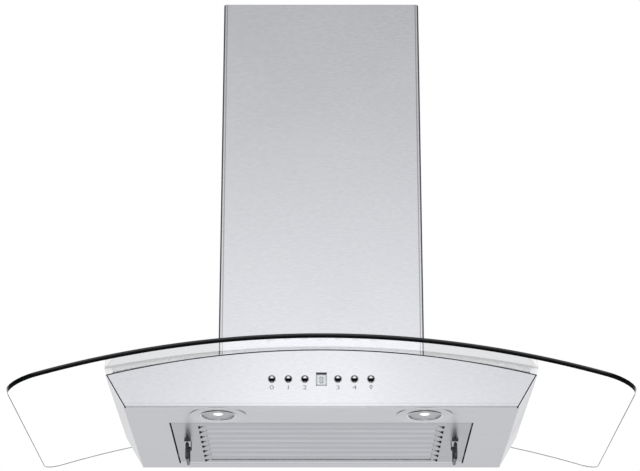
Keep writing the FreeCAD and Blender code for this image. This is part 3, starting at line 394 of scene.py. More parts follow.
def clouded(name, sockets, hue, share, grain, rough, relief=0):
    """A finish that drifts to a share of its tone and between two roughnesses, over a grain in mm.

    Its relief is in mm too.
    """
    material, tree, shader, place = new_finish(name, sockets)
    cloud = add_node(tree, "ShaderNodeTexNoise", {"Vector": place, "Scale": 1 / (grain * MM), "Detail": 4.0})
    depth = add_node(tree, "ShaderNodeMapRange", {"Value": cloud, **NOISE_SPAN})
    tone = add_node(tree, "ShaderNodeMix",
                    {SHARE: depth, FIRST: opaque(hue), SECOND: opaque(shaded(hue, share))}, data_type="RGBA")
    gloss = add_node(tree, "ShaderNodeMapRange",
                     {"Value": cloud, **NOISE_SPAN, "To Min": rough[0], "To Max": rough[1]})
    wire(tree, shader, {"Base Color": tone, "Roughness": gloss})
    if relief:
        bump = add_node(tree, "ShaderNodeBump", {"Height": cloud, "Strength": 0.4, "Distance": relief * MM})
        wire(tree, shader, {"Normal": bump})
    return material


@cache
def level_steel():
    """Belt-rubbed stainless sheet that lies flat: its hairlines run from side to side."""
    return brushed_stainless("brushed_stainless_level", LEVEL, "steel")


@cache
def upright_steel():
    """Belt-rubbed stainless sheet that stands: its hairlines run level."""
    return brushed_stainless("brushed_stainless_upright", UPRIGHT, "steel")


@cache
def side_steel_painted_lighter():
    """Belt-rubbed stainless sheet of the leaning sides, painted a little lighter to stand in for the extra
    light they catch.
    """
    return brushed_stainless("brushed_stainless_side", UPRIGHT, "side")


@cache
def chimney_steel():
    """Belt-rubbed stainless sheet of the chimney, with painted shade lines along its two bends for their
    reflections.
    """
    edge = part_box("chimney_lower")[1].x
    lines = [(0, 1.0)] + [(edge - inset * MM, share) for inset, share in CHIMNEY_PAINTED_SHADE_LINES]
    return brushed_stainless("brushed_stainless_chimney", UPRIGHT, "steel", painted_bands=[("X", lines)])


@cache
def panel_steel():
    """Belt-rubbed stainless sheet of the front panel, with painted light: brightest in the middle, darker
    towards its ends, and a painted shade line over its fold.
    """
    edge = -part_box("front_panel")[0].z
    lines = [(0, 1.0)] + [(edge - inset * MM, share) for inset, share in PANEL_FOLD_PAINTED_SHADE]
    fall = [(distance * MM, share) for distance, share in PANEL_PAINTED_FALLOFF]
    return brushed_stainless("brushed_stainless_panel", UPRIGHT, "steel", PANEL_PAINTED_PEAK,
                             [("Z", lines), ("X", fall)])


@cache
def rolled_steel():
    """Stainless strip as it comes from the rolls: long faint marks along the baffles."""
    return brushed_stainless("rolled_stainless", ROLLED, "filter")


@cache
def frame_steel_painted_highlight():
    """Rolled stainless sheet of the filter's frame, with a painted highlight along its rear edge."""
    low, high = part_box("filter_frame")
    rest = 1 / EDGE_PAINTED_HIGHLIGHT_SHINE
    lines = [(0, 1.0), (EDGE_PAINTED_HIGHLIGHT - high.y, 1.0), (EDGE_PAINTED_HIGHLIGHT + EDGE_PAINTED_HIGHLIGHT_FADE - high.y, rest), (-low.y, rest)]
    return brushed_stainless("rolled_stainless_hemmed", ROLLED, "filter", EDGE_PAINTED_HIGHLIGHT_SHINE, [("Y", lines, "Z")])


@cache
def galvanised_sheet():
    """Hot-dip galvanised sheet: zinc crystals about 9 mm across, some bright and some dull."""
    material, tree, shader, place = new_finish("galvanised_sheet", {"Metallic": 1.0})
    crystals = add_node(tree, "ShaderNodeTexVoronoi", {"Vector": place, "Scale": 1 / (9 * MM)})
    shade = add_node(tree, "ShaderNodeSeparateColor", {"Color": crystals.outputs["Color"]})
    tone = add_node(tree, "ShaderNodeMix", {SHARE: shade.outputs["Red"], FIRST: opaque(hues().zinc_dark),
                                            SECOND: opaque(hues().zinc_light)}, data_type="RGBA")
    gloss = add_node(tree, "ShaderNodeMapRange",
                     {"Value": shade.outputs["Green"], "To Min": 0.32, "To Max": 0.5})
    wire(tree, shader, {"Base Color": tone, "Roughness": gloss})
    return material


@cache
def chrome_plate():
    """Chrome plate on polished brass: a mirror with hardly any haze."""
    return clouded("chrome_plate", {"Metallic": 1.0}, hues().chrome, 0.95, 11.1, (0.0, 0.0))


@cache
def drawn_wire():
    """Drawn stainless wire: dull and soft in its reflections, and painted dark, standing in for the dark
    reflections along it.
    """
    return clouded("drawn_wire", {"Metallic": 1.0}, hues().wire, 0.85, 11.1, (0.22, 0.3))


@cache
def spun_aluminium():
    """Aluminium spun to a cup: satin, with soft turning marks."""
    return clouded("spun_aluminium", {"Metallic": 1.0}, hues().aluminium, 0.9, 6.25, (0.28, 0.36))


@cache
def plated_screw():
    """Zinc-plated steel screws: bright, with small dull spots."""
    return clouded("zinc_plated_steel", {"Metallic": 1.0}, hues().aluminium, 0.82, 1.43, (0.22, 0.34))


@cache
def toughened_glass():
    """Soda-lime float glass, bent and toughened: clear and flat, with hardly any tint."""
    return clouded("toughened_glass", {"Transmission Weight": 1.0, "IOR": 1.5}, hues().glass_tint, 0.995,
                   333, (0.0, 0.0))


@cache
def ground_glass_edge():
    """The pane's ground and polished edge, painted almost black, standing in for how dark it looks seen along
    the pane.
    """
    return clouded("ground_glass_edge", {"IOR": 1.5}, hues().glass_edge, 1.6, 16.7, (0.0, 0.0))


@cache
def cured_silicone():
    """Clear silicone, cured in the joint: milky, soft and slightly glossy."""
    return clouded("cured_silicone", {"IOR": 1.41, "Transmission Weight": 0.4}, hues().silicone, 0.93,
                   8.33, (0.25, 0.35))


@cache
def foam_rubber():
    """EPDM foam strip: matt black with open pores about 1 mm wide."""
    return clouded("foam_rubber", {"IOR": 1.5}, hues().gasket, 1.8, 1.11, (0.8, 0.95), 0.2)


def moulded_plastic(name, hue):
    """Injection-moulded ABS: an even colour with the grain of a spark-eroded mould, drawn 1 mm coarse."""
    return clouded(name, {"IOR": 1.53}, hue, 1.12, 1.11, (0.42, 0.55), 0.05)


@cache
def black_abs():
    """Black ABS of the housings and the scrolls."""
    return moulded_plastic("black_abs", hues().black_plastic)


@cache
def grey_abs():
    """Grey ABS of the wheel, the flaps and the junction box."""
    return moulded_plastic("grey_abs", hues().grey_plastic)


@cache
def white_abs():
    """White ABS of the capacitor's can."""
    return moulded_plastic("white_abs", hues().white_plastic)


@cache
def baked_enamel():
    """Baked enamel on pressed steel: grey, with the slight orange peel of sprayed paint."""
    return clouded("baked_enamel", {"IOR": 1.5}, hues().enamel, 1.1, 3.85, (0.3, 0.4), 0.1)


@cache
def solder_mask():
    """Glass-fibre board under green solder mask: the weave shows through as faint squares."""
    return clouded("solder_mask", {"IOR": 1.55}, hues().board, 1.35, 2.22, (0.28, 0.38))


@cache
def tinted_acrylic():
    """Tinted acrylic pane over the display: pale and smooth."""
    return clouded("tinted_acrylic", {"IOR": 1.49}, hues().pane, 0.92, 8.33, (0.08, 0.14))


@cache
def printed_ink():
    """Screen-printed ink: thin, matt and slightly uneven."""
    return clouded("printed_ink", {"IOR": 1.5}, hues().ink, 0.85, 0.667, (0.5, 0.6))


@cache
def frosted_lens():
    """Frosted lamp glass: pale grey, lit in the middle by the lamp behind it."""
    sizes = bpy.context.scene.hood_lamps
    low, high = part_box("lamp_ring_right")
    material, tree, shader, place = new_finish("frosted_lens", {"IOR": 1.5})
    parts = add_node(tree, "ShaderNodeSeparateXYZ", {"Vector": place})
    side = add_node(tree, "ShaderNodeMath", {0: parts.outputs["X"]}, operation="ABSOLUTE")
    across = add_node(tree, "ShaderNodeMath", {0: side, 1: (low.x + high.x) / 2}, operation="SUBTRACT")
    along = add_node(tree, "ShaderNodeMath", {0: parts.outputs["Y"], 1: (low.y + high.y) / 2},
                     operation="SUBTRACT")
    flat = add_node(tree, "ShaderNodeCombineXYZ", {"X": across, "Y": along})
    radius = add_node(tree, "ShaderNodeVectorMath", {0: flat}, operation="LENGTH")
    glow = add_node(tree, "ShaderNodeMapRange",
                    {"Value": radius, "From Min": sizes.glow_reach, "From Max": sizes.glow_core,
                     "To Max": sizes.glow}, interpolation_type="SMOOTHSTEP")
    grain = add_node(tree, "ShaderNodeTexNoise", {"Vector": place, "Scale": 1 / (1.25 * MM)})
    rough = add_node(tree, "ShaderNodeMapRange", {"Value": grain, "To Min": 0.25, "To Max": 0.45})
    wire(tree, shader, {"Base Color": opaque(hues().lens), "Emission Color": (1.0, 1.0, 1.0, 1.0),
                        "Emission Strength": glow, "Roughness": rough})
    return material


def painted_floor():
    """Matt studio paint that fades out towards the floor's rim, and can be seen through from below."""
    studio = bpy.context.scene.hood_studio
    start, end = [share * studio.floor_radius for share in FLOOR_FADE]
    material = clouded("painted_floor", {"IOR": 1.45}, hues().floor, 0.97, 500, (0.6, 0.7))
    tree = material.node_tree
    place = add_node(tree, "ShaderNodeTexCoord")
    middle = add_node(tree, "ShaderNodeVectorMath",
                      {0: place.outputs["Object"], 1: (0, CAD_LOW.y / 2, -studio.floor_drop)},
                      operation="SUBTRACT")
    radius = add_node(tree, "ShaderNodeVectorMath", {0: middle}, operation="LENGTH")
    faded = add_node(tree, "ShaderNodeMapRange", {"Value": radius, "From Min": start, "From Max": end},
                     interpolation_type="SMOOTHSTEP")
    shape = add_node(tree, "ShaderNodeNewGeometry")
    hidden = add_node(tree, "ShaderNodeMath", {0: faded, 1: shape.outputs["Backfacing"]}, operation="MAXIMUM")
    clear = add_node(tree, "ShaderNodeBsdfTransparent")
    mixed = add_node(tree, "ShaderNodeMixShader", {0: hidden, 1: tree.nodes["Principled BSDF"], 2: clear})
    wire(tree, tree.nodes["Material Output"], {"Surface": mixed})
    return material


# The finish of every node of the frame, by group
BODY = {
    panel_steel: ["front_panel"],
    side_steel_painted_lighter: ["side_panel_left", "side_panel_right"],
    upright_steel: ["rear_panel"],
    level_steel: ["roof_plate", "bottom_panel"],
    galvanised_sheet: ["filter_surround"],
    foam_rubber: ["panel_gasket"],
}
CHIMNEY = {
    chimney_steel: ["chimney_lower", "chimney_upper"],
    galvanised_sheet: ["chimney_clips", "upper_bracket"],
    plated_screw: ["chimney_screws", "bracket_screws"],
}
FILTER = {
    frame_steel_painted_highlight: ["filter_frame"],
    rolled_steel: ["lower_baffles", "upper_baffles"],
    drawn_wire: ["filter_handle_left", "filter_handle_right"],
    chrome_plate: ["handle_ears"],
    plated_screw: ["filter_clips"],
}
MOTOR_BOX = {
    galvanised_sheet: [f"motor_box_{side}" for side in ("back", "sides", "top", "cover", "floor")],
    plated_screw: ["housing_screws"],
    black_abs: ["outlet_adaptor", "cable_gland"],
    grey_abs: ["damper_flap_front", "damper_flap_rear", "junction_box"],
}
BLOWER = {
    black_abs: ["scroll_left", "scroll_right"],
    grey_abs: ["blower_wheel"],
    white_abs: ["capacitor"],
    galvanised_sheet: ["motor_spider", "capacitor_band"],
    plated_screw: ["motor_shaft"],
    baked_enamel: ["motor"],
}
GLASS = {
    toughened_glass: ["glass_canopy"],
    cured_silicone: ["glass_seals"],
    galvanised_sheet: ["glass_clamps"],
}
CONTROLS = {
    chrome_plate: [f"button_{number}" for number in BUTTONS],
    black_abs: ["control_housing", "tact_switches"],
    solder_mask: ["control_board"],
}
DISPLAY = {chrome_plate: ["display_bezel"], tinted_acrylic: ["display_window"]}
LAMPS = {
    chrome_plate: ["lamp_ring_left", "lamp_ring_right"],
    frosted_lens: ["lamp_lens_left", "lamp_lens_right"],
    spun_aluminium: ["lamp_can_left", "lamp_can_right"],
}
DRESSED = [BODY, CHIMNEY, FILTER, MOTOR_BOX, BLOWER, GLASS, CONTROLS, DISPLAY, LAMPS]


def check_dressed():
    """Stops if a node of the record has no finish."""
    dressed = {name for group in DRESSED for names in group.values() for name in names}
    bare = {part["node"] for part in frame["record"]["subparts"]} - dressed
    if bare:
        raise RuntimeError(f"no finish for {sorted(bare)}")


def dress(group):
    """Gives each node of a group its finish."""
    for finish, names in group.items():
        for name in names:
            mesh = frame["nodes"][name].data
            mesh.materials.clear()
            mesh.materials.append(finish())


def placed(name, data):
    """A new object in the scene."""
    thing = bpy.data.objects.new(name, data)
    bpy.context.scene.collection.objects.link(thing)
    return thing


def add_piece(name, bm, finishes, body, stands_for=()):
    """Turns a bmesh into a finished piece that rides on a body of the frame."""
    for face in bm.faces:
        face.smooth = True
    for edge in bm.edges:
        kinds = {face.material_index for face in edge.link_faces}
        if len(kinds) > 1 or edge.is_manifold and edge.calc_face_angle() > SHARP_ANGLE:
            edge.smooth = False
    mesh = bpy.data.meshes.new(name)
    bm.to_mesh(mesh)
    bm.free()
    for finish in finishes:
        mesh.materials.append(finish())
    piece = placed(name, mesh)
    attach(piece, body)
    if stands_for:
        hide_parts(*stands_for)
    return piece


def box_at(bm, low, high):
    """Adds a box between two corners to a bmesh."""
    low, high = Vector(low), Vector(high)
    place = Matrix.Translation((low + high) / 2) @ Matrix.Diagonal((*(high - low), 1.0))
    bmesh.ops.create_cube(bm, size=1.0, matrix=place)


def arc(radius_across, radius_along, start, end, steps):
    """Points (radius, distance along the axis) on part of an ellipse about the origin."""
    turns = [math.radians(start + (end - start) * step / steps) for step in range(steps + 1)]
    return [(radius_across * math.sin(turn), radius_along * math.cos(turn)) for turn in turns]


def lathe(bm, profile, middle, axis):
    """Turns a profile of (radius, distance along the axis) once round an axis through a point."""
    across = axis.orthogonal().normalized()
    dots = [bm.verts.new(middle + across * radius + axis * along) for radius, along in profile]
    lines = [bm.edges.new(pair) for pair in zip(dots, dots[1:])]
    bmesh.ops.spin(bm, geom=dots + lines, cent=middle, axis=axis, angle=math.tau,
                   steps=LATHE_STEPS, use_merge=True, use_duplicate=False)
    bmesh.ops.remove_doubles(bm, verts=bm.verts, dist=MERGE)
    bmesh.ops.recalc_face_normals(bm, faces=bm.faces)


def round_edges(bm, edges, radius, steps):
    """Rounds edges, and gives back the new faces."""
    return bmesh.ops.bevel(bm, geom=edges, offset=radius, offset_type="OFFSET", affect="EDGES",
                           segments=steps, profile=0.5, material=-1)["faces"]


def raised_text(words, height, film):
    """Figures as a thin closed mesh, standing up and facing the front, centred on the origin."""
    letters = bpy.data.curves.new("letters", "FONT")
    letters.body = words
    letters.extrude = film
    holder = placed("letters", letters)
    seen = holder.evaluated_get(bpy.context.evaluated_depsgraph_get())
    mesh = bpy.data.meshes.new_from_object(seen)
    bm = bmesh.new()
    bm.from_mesh(mesh)
    bpy.data.objects.remove(holder)
    bpy.data.curves.remove(letters)
    bpy.data.meshes.remove(mesh)
    bmesh.ops.remove_doubles(bm, verts=bm.verts, dist=MERGE)
    low = Vector([min(v.co[i] for v in bm.verts) for i in range(3)])
    high = Vector([max(v.co[i] for v in bm.verts) for i in range(3)])
    grow = height / (high.y - low.y)
    bmesh.ops.translate(bm, vec=-(low + high) / 2, verts=bm.verts)
    bmesh.ops.scale(bm, vec=(grow, grow, 1.0), verts=bm.verts)
    bmesh.ops.transform(bm, matrix=STAND_UP, verts=bm.verts)
    return bm


def lamp_sign(height, film):
    """A small lamp: a ring for the bulb over a stem for its foot, facing the front."""
    bm = bmesh.new()
    face = Vector((0, -film / 2, 0))
    hole, bulb, stem = height * 0.2, height * 0.38, height * 0.1
    ring = [(hole, 0), (bulb, 0), (bulb, film), (hole, film), (hole, 0)]
    lathe(bm, ring, face + UPWARD * height * 0.2, INWARD)
    box_at(bm, face - Vector((stem, 0, height * 0.5)), face + Vector((stem, film, -height * 0.1)))
    return bm


def slice_at(bm, x):
    """Cuts all faces along a plane across X."""
    bmesh.ops.bisect_plane(bm, geom=bm.verts[:] + bm.edges[:] + bm.faces[:], dist=MERGE,
                           plane_co=(x, 0, 0), plane_no=(1, 0, 0))


def flat_pane(sizes, half, notch, low, high):
    """The pane before it is bent: a plate with its notch and its rounded corners."""
    back, near = -sizes.notch_depth, 0.1 * MM
    outline = [(-half, low.y), (half, low.y), (half, high.y), (notch, high.y),
               (notch, back), (-notch, back), (-notch, high.y), (-half, high.y)]
    bm = bmesh.new()
    pane = bm.faces.new([bm.verts.new((x, y, 0)) for x, y in outline])
    lifted = bmesh.ops.extrude_face_region(bm, geom=[pane])["geom"]
    top = [v for v in lifted if isinstance(v, bmesh.types.BMVert)]
    bmesh.ops.translate(bm, verts=top, vec=(0, 0, sizes.thickness))
    corners = [(sizes.front_corner, lambda at: at.y < low.y + near),
               (sizes.rear_corner, lambda at: at.y > high.y - near and abs(at.x) > half - near),
               (sizes.notch_corner, lambda at: abs(at.y - back) < near)]
    for radius, picked in corners:
        posts = [e for e in bm.edges if abs(e.verts[0].co.z - e.verts[1].co.z) > near
                 and picked(e.verts[0].co)]
        round_edges(bm, posts, radius, PANE_CORNER_STEPS)
    bmesh.ops.recalc_face_normals(bm, faces=bm.faces)
    return bm


class HOOD_OT_body(bpy.types.Operator):
    """Finishes the steel body: front, sides, roof, underside and the strip round the front"""

    bl_idname = "hood.body"
    bl_label = "Body"

    def execute(self, context):
        dress(BODY)
        return {"FINISHED"}


class HOOD_OT_chimney(bpy.types.Operator):
    """Finishes the two chimney covers with their clips, screws and bracket"""

    bl_idname = "hood.chimney"
    bl_label = "Chimney"

    def execute(self, context):
        dress(CHIMNEY)
        return {"FINISHED"}


class HOOD_OT_filter(bpy.types.Operator):
    """Finishes the baffle filter with its wire handles and clips"""

    bl_idname = "hood.filter"
    bl_label = "Baffle filter"

    def execute(self, context):
        dress(FILTER)
        return {"FINISHED"}


class HOOD_OT_motor_box(bpy.types.Operator):
    """Finishes the motor box, the outlet with its flaps and the junction box"""

    bl_idname = "hood.motor_box"
    bl_label = "Motor box"

    def execute(self, context):
        dress(MOTOR_BOX)
        return {"FINISHED"}


class HOOD_OT_blower(bpy.types.Operator):
    """Finishes the blower: scrolls, wheel, motor and capacitor"""

    bl_idname = "hood.blower"
    bl_label = "Blower"

    def execute(self, context):
        dress(BLOWER)
        return {"FINISHED"}


class HOOD_OT_glass_canopy(bpy.types.Operator):
    """Makes the bent glass canopy with its notch and ground edges"""

    bl_idname = "hood.glass_canopy"
    bl_label = "Glass canopy"

    def execute(self, context):
        dress(GLASS)
        sizes = context.scene.hood_glass
        low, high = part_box("glass_canopy")
        outer = sizes.bend_radius + sizes.thickness
        half = outer * math.asin(high.x / outer)
        notch = outer * math.asin(sizes.notch_half / outer)
        bm = flat_pane(sizes, half, notch, low, high)
        for face in bm.faces:
            face.material_index = 0 if abs(face.normal.z) > 0.5 else 1
        strips = round(2 * half / sizes.facet)
        for step in range(1, strips):
            slice_at(bm, step * 2 * half / strips - half)
        # Strips along the two sides take the edge's painted dark tone, standing in for the dark lines seen
        # there
        painted_strip_start = half - sizes.edge_round - sizes.side_painted_dark_strip
        for side in (-1, 1):
            slice_at(bm, side * painted_strip_start)
        for face in bm.faces:
            if abs(face.calc_center_median().x) > painted_strip_start:
                face.material_index = 1
        rim = [e for e in bm.edges if e.is_manifold and e.calc_face_angle() > RIM_ANGLE]
        for face in round_edges(bm, rim, sizes.edge_round, EDGE_STEPS):
            face.material_index = 1
        for vert in bm.verts:
            turn, radius = vert.co.x / outer, sizes.bend_radius + vert.co.z
            vert.co.x = radius * math.sin(turn)
            vert.co.z = high.z - outer + radius * math.cos(turn)
        bmesh.ops.recalc_face_normals(bm, faces=bm.faces)
        finishes = [toughened_glass, ground_glass_edge]
        pane = add_piece("canopy_glass", bm, finishes, "root", ["glass_canopy"])
        pane.visible_glossy = False
        return {"FINISHED"}


class HOOD_OT_buttons(bpy.types.Operator):
    """Turns the six domed buttons with their collars and stems"""

    bl_idname = "hood.buttons"
    bl_label = "Buttons"

    def execute(self, context):
        dress(CONTROLS)
        sizes = context.scene.hood_controls
        back = sizes.collar_back + sizes.collar_sheet
        dome = arc(sizes.dome_radius, -sizes.dome_height, 0, 90, DOME_STEPS)
        for number in BUTTONS:
            name = f"button_{number}"
            low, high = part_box(name)
            tip = Vector(((low.x + high.x) / 2, low.y, (low.z + high.z) / 2))
            profile = [(radius, along + sizes.dome_height) for radius, along in dome]
            profile += [(sizes.dome_radius, sizes.collar_back), (sizes.collar_radius, sizes.collar_back),
                        (sizes.collar_radius, back), (sizes.stem_radius, back),
                        (sizes.stem_radius, high.y - low.y), (0, high.y - low.y)]
            bm = bmesh.new()
            lathe(bm, profile, tip, INWARD)
            add_piece(f"button_cap_{number}", bm, [chrome_plate], name, [name])
        return {"FINISHED"}


class HOOD_OT_display(bpy.types.Operator):
    """Makes the display's rounded frame, its dark bar and its figure"""

    bl_idname = "hood.display"
    bl_label = "Display"

    def execute(self, context):
        dress(DISPLAY)
        sizes = context.scene.hood_controls
        self.add_surround(sizes)
        self.add_bar(sizes)
        self.add_figure(sizes)
        return {"FINISHED"}

    def add_surround(self, sizes):
        """The frame: a rounded block with a pocket in its front."""
        bm = bmesh.new()
        box_at(bm, *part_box("display_bezel"))
        posts = [e for e in bm.edges if abs((e.verts[0].co - e.verts[1].co).normalized().y) > 0.5]
        round_edges(bm, posts, sizes.frame_corner, FRAME_CORNER_STEPS)
        bmesh.ops.recalc_face_normals(bm, faces=bm.faces)
        front = [f for f in bm.faces if f.normal.y < -0.9]
        bmesh.ops.inset_region(bm, faces=front, thickness=sizes.frame_wall)
        pocket = bmesh.ops.extrude_face_region(bm, geom=front)["geom"]
        floor = [v for v in pocket if isinstance(v, bmesh.types.BMVert)]
        bmesh.ops.delete(bm, geom=front, context="FACES_ONLY")
        bmesh.ops.translate(bm, verts=floor, vec=INWARD * sizes.pane_depth)
        bmesh.ops.recalc_face_normals(bm, faces=bm.faces)
        add_piece("display_surround", bm, [spun_aluminium], "root", ["display_bezel"])

    def add_bar(self, sizes):
        """The dark bar across the top of the frame."""
        low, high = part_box("display_bezel")
        side, top = high.x - sizes.bar_inset, high.z - sizes.bar_inset
        bm = bmesh.new()
        box_at(bm, (-side, low.y - sizes.bar_sheet, top - sizes.bar_height), (side, low.y, top))
        add_piece("display_bar", bm, [black_abs], "root")

    def add_figure(self, sizes):
        """The figure: seven bars in front of the pane."""
        low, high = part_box("display_window")
        middle, thick, film = (low + high) / 2, sizes.digit_stroke, sizes.label_film
        wide, tall = sizes.digit_width / 2, sizes.digit_height / 2
        centre = middle.z - sizes.bar_height / 2
        bm = bmesh.new()
        for step in (-1, 0, 1):
            z = centre + step * (tall - thick / 2)
            box_at(bm, (middle.x - wide + thick, low.y - film, z - thick / 2),
                   (middle.x + wide - thick, low.y, z + thick / 2))
        for side in (-1, 1):
            for step in (-1, 1):
                x, z = middle.x + side * (wide - thick / 2), centre + step * tall / 2
                box_at(bm, (x - thick / 2, low.y - film, z - tall / 2 + thick / 2),
                       (x + thick / 2, low.y, z + tall / 2 - thick / 2))
        add_piece("display_figure", bm, [printed_ink], "root")


class HOOD_OT_labels(bpy.types.Operator):
    """Prints the figures and the lamp sign under the buttons"""

    bl_idname = "hood.labels"
    bl_label = "Button labels"

    def execute(self, context):
        sizes = context.scene.hood_controls
        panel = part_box("front_panel")[0].y
        for number, words in zip(BUTTONS, SIGNS):
            low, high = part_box(f"button_{number}")
            middle = (low + high) / 2
            if words == "lamp":
                bm = lamp_sign(sizes.label_height, sizes.label_film)
            else:
                bm = raised_text(words, sizes.label_height, sizes.label_film)
                bmesh.ops.scale(bm, vec=(sizes.label_stretch, 1.0, 1.0), verts=bm.verts)
            bmesh.ops.translate(bm, vec=(middle.x, panel, middle.z - sizes.label_drop), verts=bm.verts)
            add_piece(f"label_{words}", bm, [printed_ink], "root")
        return {"FINISHED"}


class HOOD_OT_lamps(bpy.types.Operator):
    """Turns the two lamp rings, each with a bright rim and a bright bead round its mouth"""

    bl_idname = "hood.lamps"
    bl_label = "Lamp rings"

    def execute(self, context):
        dress(LAMPS)
        sizes = context.scene.hood_lamps
        for side in ("left", "right"):
            low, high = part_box(f"lamp_ring_{side}")
            middle = Vector(((low.x + high.x) / 2, (low.y + high.y) / 2, low.z + sizes.drop))
            outer = (high.x - low.x) / 2
            bm = bmesh.new()
            lathe(bm, self.profile(sizes, outer), middle, UPWARD)
            self.pick_finishes(bm, sizes, middle, outer)
            finishes = [chrome_plate, level_steel]
            add_piece(f"lamp_trim_{side}", bm, finishes, "root", [f"lamp_ring_{side}"])
        return {"FINISHED"}

    def profile(self, sizes, outer):
        """Half the ring's section: bead, neck, and the flange back to the bead."""
        mouth, bead, gap = sizes.mouth_radius, sizes.bead_radius, sizes.skin_gap
        under, inner, neck = bead - sizes.drop, mouth + 2 * bead, mouth + 1.3 * bead
        curve = arc(bead, bead, 90, 270, BEAD_STEPS)
        bulge = [(mouth + bead + across, under + along) for across, along in curve]
        collar = [(mouth, sizes.neck_height), (neck, sizes.neck_height), (neck, -gap)]
        flange = [(inner, -gap), (outer, -gap), (outer, -sizes.rim_height), (inner, under)]
        return bulge + collar + flange

    def pick_finishes(self, bm, sizes, middle, outer):
        """Steel for the flat flange and the lining, chrome for the bead and the rim."""
        near = 0.01 * MM
        inner = sizes.mouth_radius + 2 * sizes.bead_radius
        for face in bm.faces:
            reach = face.calc_center_median() - middle
            reach.z = 0
            flat = inner + near < reach.length < outer - near
            lining = reach.length < sizes.mouth_radius + near
            face.material_index = 1 if flat or lining else 0


def metal_room(tree, kind, height, behind, turn):
    """The room as one kind of metal sees it: a front and a back half, brighter and darker by turn."""
    front, back = [light_band(tree, height, [((math.sin(math.radians(up)) + 1) / 2, shine)
                                             for up, shine in SKY[f"{kind}_{half}"]], SKY_PEAK)
                   for half in ("front", "back")]
    both = add_node(tree, "ShaderNodeMix", {SHARE: behind, FIRST: front, SECOND: back}, data_type="RGBA")
    shares = light_band(tree, turn, [(away / 180, share) for away, share in TURN[kind]], SKY_PEAK)
    return add_node(tree, "ShaderNodeMix", {SHARE: 1.0, FIRST: both, SECOND: shares},
                    data_type="RGBA", blend_type="MULTIPLY")


def backdrop(tree, turn, rise, through_glass):
    """Plain white, with the grey card where the pane is looked through."""
    inside = through_glass
    for value, (start, end) in ((turn, CARD_TURN), (rise, CARD_FOOT), (rise, CARD_TOP)):
        edge = add_node(tree, "ShaderNodeMapRange", {"Value": value, "From Min": start, "From Max": end})
        inside = add_node(tree, "ShaderNodeMath", {0: edge, 1: inside}, operation="MULTIPLY")
    white = [1 / SKY_PEAK ** 2] * 3
    return add_node(tree, "ShaderNodeMix",
                    {SHARE: inside, FIRST: opaque(white), SECOND: opaque(shaded(white, CARD_SHINE))},
                    data_type="RGBA")


def studio_sky():
    """A white room: camera and glass see plain white, metals see brighter and darker parts of it."""
    world = bpy.data.worlds.new("studio_sky")
    world.use_nodes = True
    tree = world.node_tree
    tree.nodes.clear()
    place = add_node(tree, "ShaderNodeTexCoord")
    parts = add_node(tree, "ShaderNodeSeparateXYZ", {"Vector": place.outputs["Generated"]})
    height = add_node(tree, "ShaderNodeMapRange", {"Value": parts.outputs["Z"], "From Min": -1.0})
    behind = add_node(tree, "ShaderNodeMapRange", {"Value": parts.outputs["Y"], **BACK_SPAN},
                      interpolation_type="SMOOTHSTEP")
    side = add_node(tree, "ShaderNodeMath", {0: parts.outputs["X"]}, operation="ABSOLUTE")
    front = add_node(tree, "ShaderNodeMath", {0: parts.outputs["Y"], 1: -1.0}, operation="MULTIPLY")
    angle = add_node(tree, "ShaderNodeMath", {0: side, 1: front}, operation="ARCTAN2")
    turn = add_node(tree, "ShaderNodeMath", {0: angle, 1: math.pi}, operation="DIVIDE")
    soft, sharp = [metal_room(tree, kind, height, behind, turn) for kind in ("soft", "sharp")]
    path = add_node(tree, "ShaderNodeLightPath").outputs
    metal = add_node(tree, "ShaderNodeMix", {SHARE: path["Is Singular Ray"], FIRST: soft, SECOND: sharp},
                     data_type="RGBA")
    plain = add_node(tree, "ShaderNodeMath", {0: path["Is Camera Ray"], 1: path["Is Transmission Ray"]},
                     operation="MAXIMUM")
    card = backdrop(tree, turn, parts.outputs["Z"], path["Is Transmission Ray"])
    shown = add_node(tree, "ShaderNodeMix", {SHARE: plain, FIRST: metal, SECOND: card}, data_type="RGBA")
    under_glass = add_node(tree, "ShaderNodeMapRange",
                           {"Value": path["Transmission Depth"], "To Min": 1.0, "To Max": GLASS_GAIN})
    lit = add_node(tree, "ShaderNodeMix", {0: plain, 2: under_glass, 3: 1.0}, data_type="FLOAT")
    power = add_node(tree, "ShaderNodeMath", {0: lit, 1: SKY_PEAK ** 2}, operation="MULTIPLY")
    light = add_node(tree, "ShaderNodeBackground", {"Color": shown, "Strength": power})
    add_node(tree, "ShaderNodeOutputWorld", {"Surface": light})
    return world


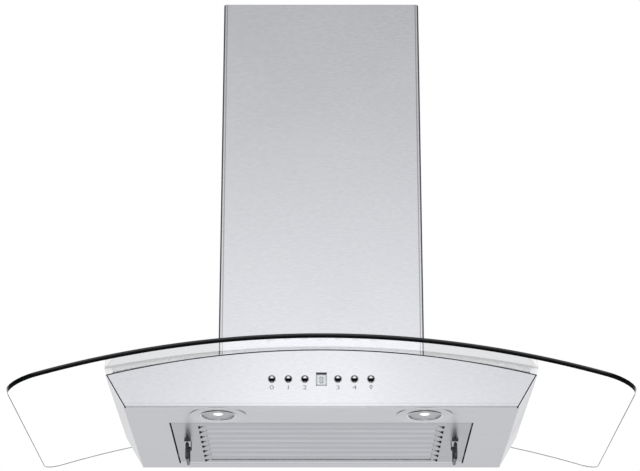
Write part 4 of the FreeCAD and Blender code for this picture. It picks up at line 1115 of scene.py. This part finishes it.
class HOOD_OT_studio(bpy.types.Operator):
    """Sets the pale floor, the soft light and the camera"""

    bl_idname = "hood.studio"
    bl_label = "Studio"

    def execute(self, context):
        studio = context.scene.hood_studio
        self.add_floor(studio)
        self.add_softbox(studio)
        self.add_camera(studio)
        context.scene.view_settings.view_transform = "Standard"
        context.scene.world = studio_sky()
        return {"FINISHED"}

    def add_floor(self, studio):
        """The pale floor: a disc that metal doesn't mirror."""
        bm = bmesh.new()
        bmesh.ops.create_circle(bm, cap_ends=True, segments=FLOOR_STEPS, radius=studio.floor_radius,
                                matrix=Matrix.Translation((0, CAD_LOW.y / 2, -studio.floor_drop)))
        mesh = bpy.data.meshes.new("floor")
        bm.to_mesh(mesh)
        bm.free()
        mesh.materials.append(painted_floor())
        floor = placed("floor", mesh)
        floor.visible_glossy = False

    def add_softbox(self, studio):
        """The soft light over the hood, which metal doesn't mirror."""
        lamp = bpy.data.lights.new("softbox", "AREA")
        lamp.shape = "RECTANGLE"
        lamp.size, lamp.size_y = SOFTBOX_SIZE
        lamp.energy = studio.softbox_power
        holder = placed("softbox", lamp)
        holder.location = SOFTBOX_PLACE
        holder.rotation_euler = (SOFTBOX_AIM - SOFTBOX_PLACE).to_track_quat("-Z", "Y").to_euler()
        holder.visible_glossy = False

    def add_camera(self, studio):
        """The camera: facing the wall, below the hood and looking up."""
        lens = bpy.data.cameras.new("camera")
        lens.lens = studio.camera_lens
        lens.clip_start, lens.clip_end = CAMERA_CLIP
        camera = placed("camera", lens)
        camera.location = (studio.camera_side, -studio.camera_distance, -studio.camera_drop)
        camera.rotation_euler = (math.radians(90) + studio.camera_pitch, 0, 0)
        bpy.context.scene.camera = camera


class HOOD_PT_sidebar(bpy.types.Panel):
    """Lists the hood's pieces, sizes and colours"""

    bl_idname = "HOOD_PT_sidebar"
    bl_label = "Wall hood"
    bl_space_type = "VIEW_3D"
    bl_region_type = "UI"
    bl_category = "Hood"

    def draw(self, context):
        for operator in OPERATORS:
            self.layout.operator(operator.bl_idname)
        for name, group in GROUPS.items():
            box = self.layout.box()
            for prop in group.__annotations__:
                box.prop(getattr(context.scene, name), prop)


OPERATORS = [HOOD_OT_body, HOOD_OT_chimney, HOOD_OT_filter, HOOD_OT_motor_box, HOOD_OT_blower,
             HOOD_OT_glass_canopy, HOOD_OT_buttons, HOOD_OT_display, HOOD_OT_labels, HOOD_OT_lamps,
             HOOD_OT_studio]
CLASSES = [*GROUPS.values(), *OPERATORS, HOOD_PT_sidebar]


def register():
    """Registers the classes and gives the scene its properties."""
    for one in CLASSES:
        bpy.utils.register_class(one)
    for name, group in GROUPS.items():
        setattr(bpy.types.Scene, name, bpy.props.PointerProperty(type=group))


def unregister():
    """Takes back what register did."""
    for name in GROUPS:
        delattr(bpy.types.Scene, name)
    for one in reversed(CLASSES):
        bpy.utils.unregister_class(one)


def main():
    """Builds the scene."""
    register()
    check_dressed()
    bpy.ops.hood.body()
    bpy.ops.hood.chimney()
    bpy.ops.hood.filter()
    bpy.ops.hood.motor_box()
    bpy.ops.hood.blower()
    bpy.ops.hood.glass_canopy()
    bpy.ops.hood.buttons()
    bpy.ops.hood.display()
    bpy.ops.hood.labels()
    bpy.ops.hood.lamps()
    bpy.ops.hood.studio()


if __name__ == "__main__":
    main()
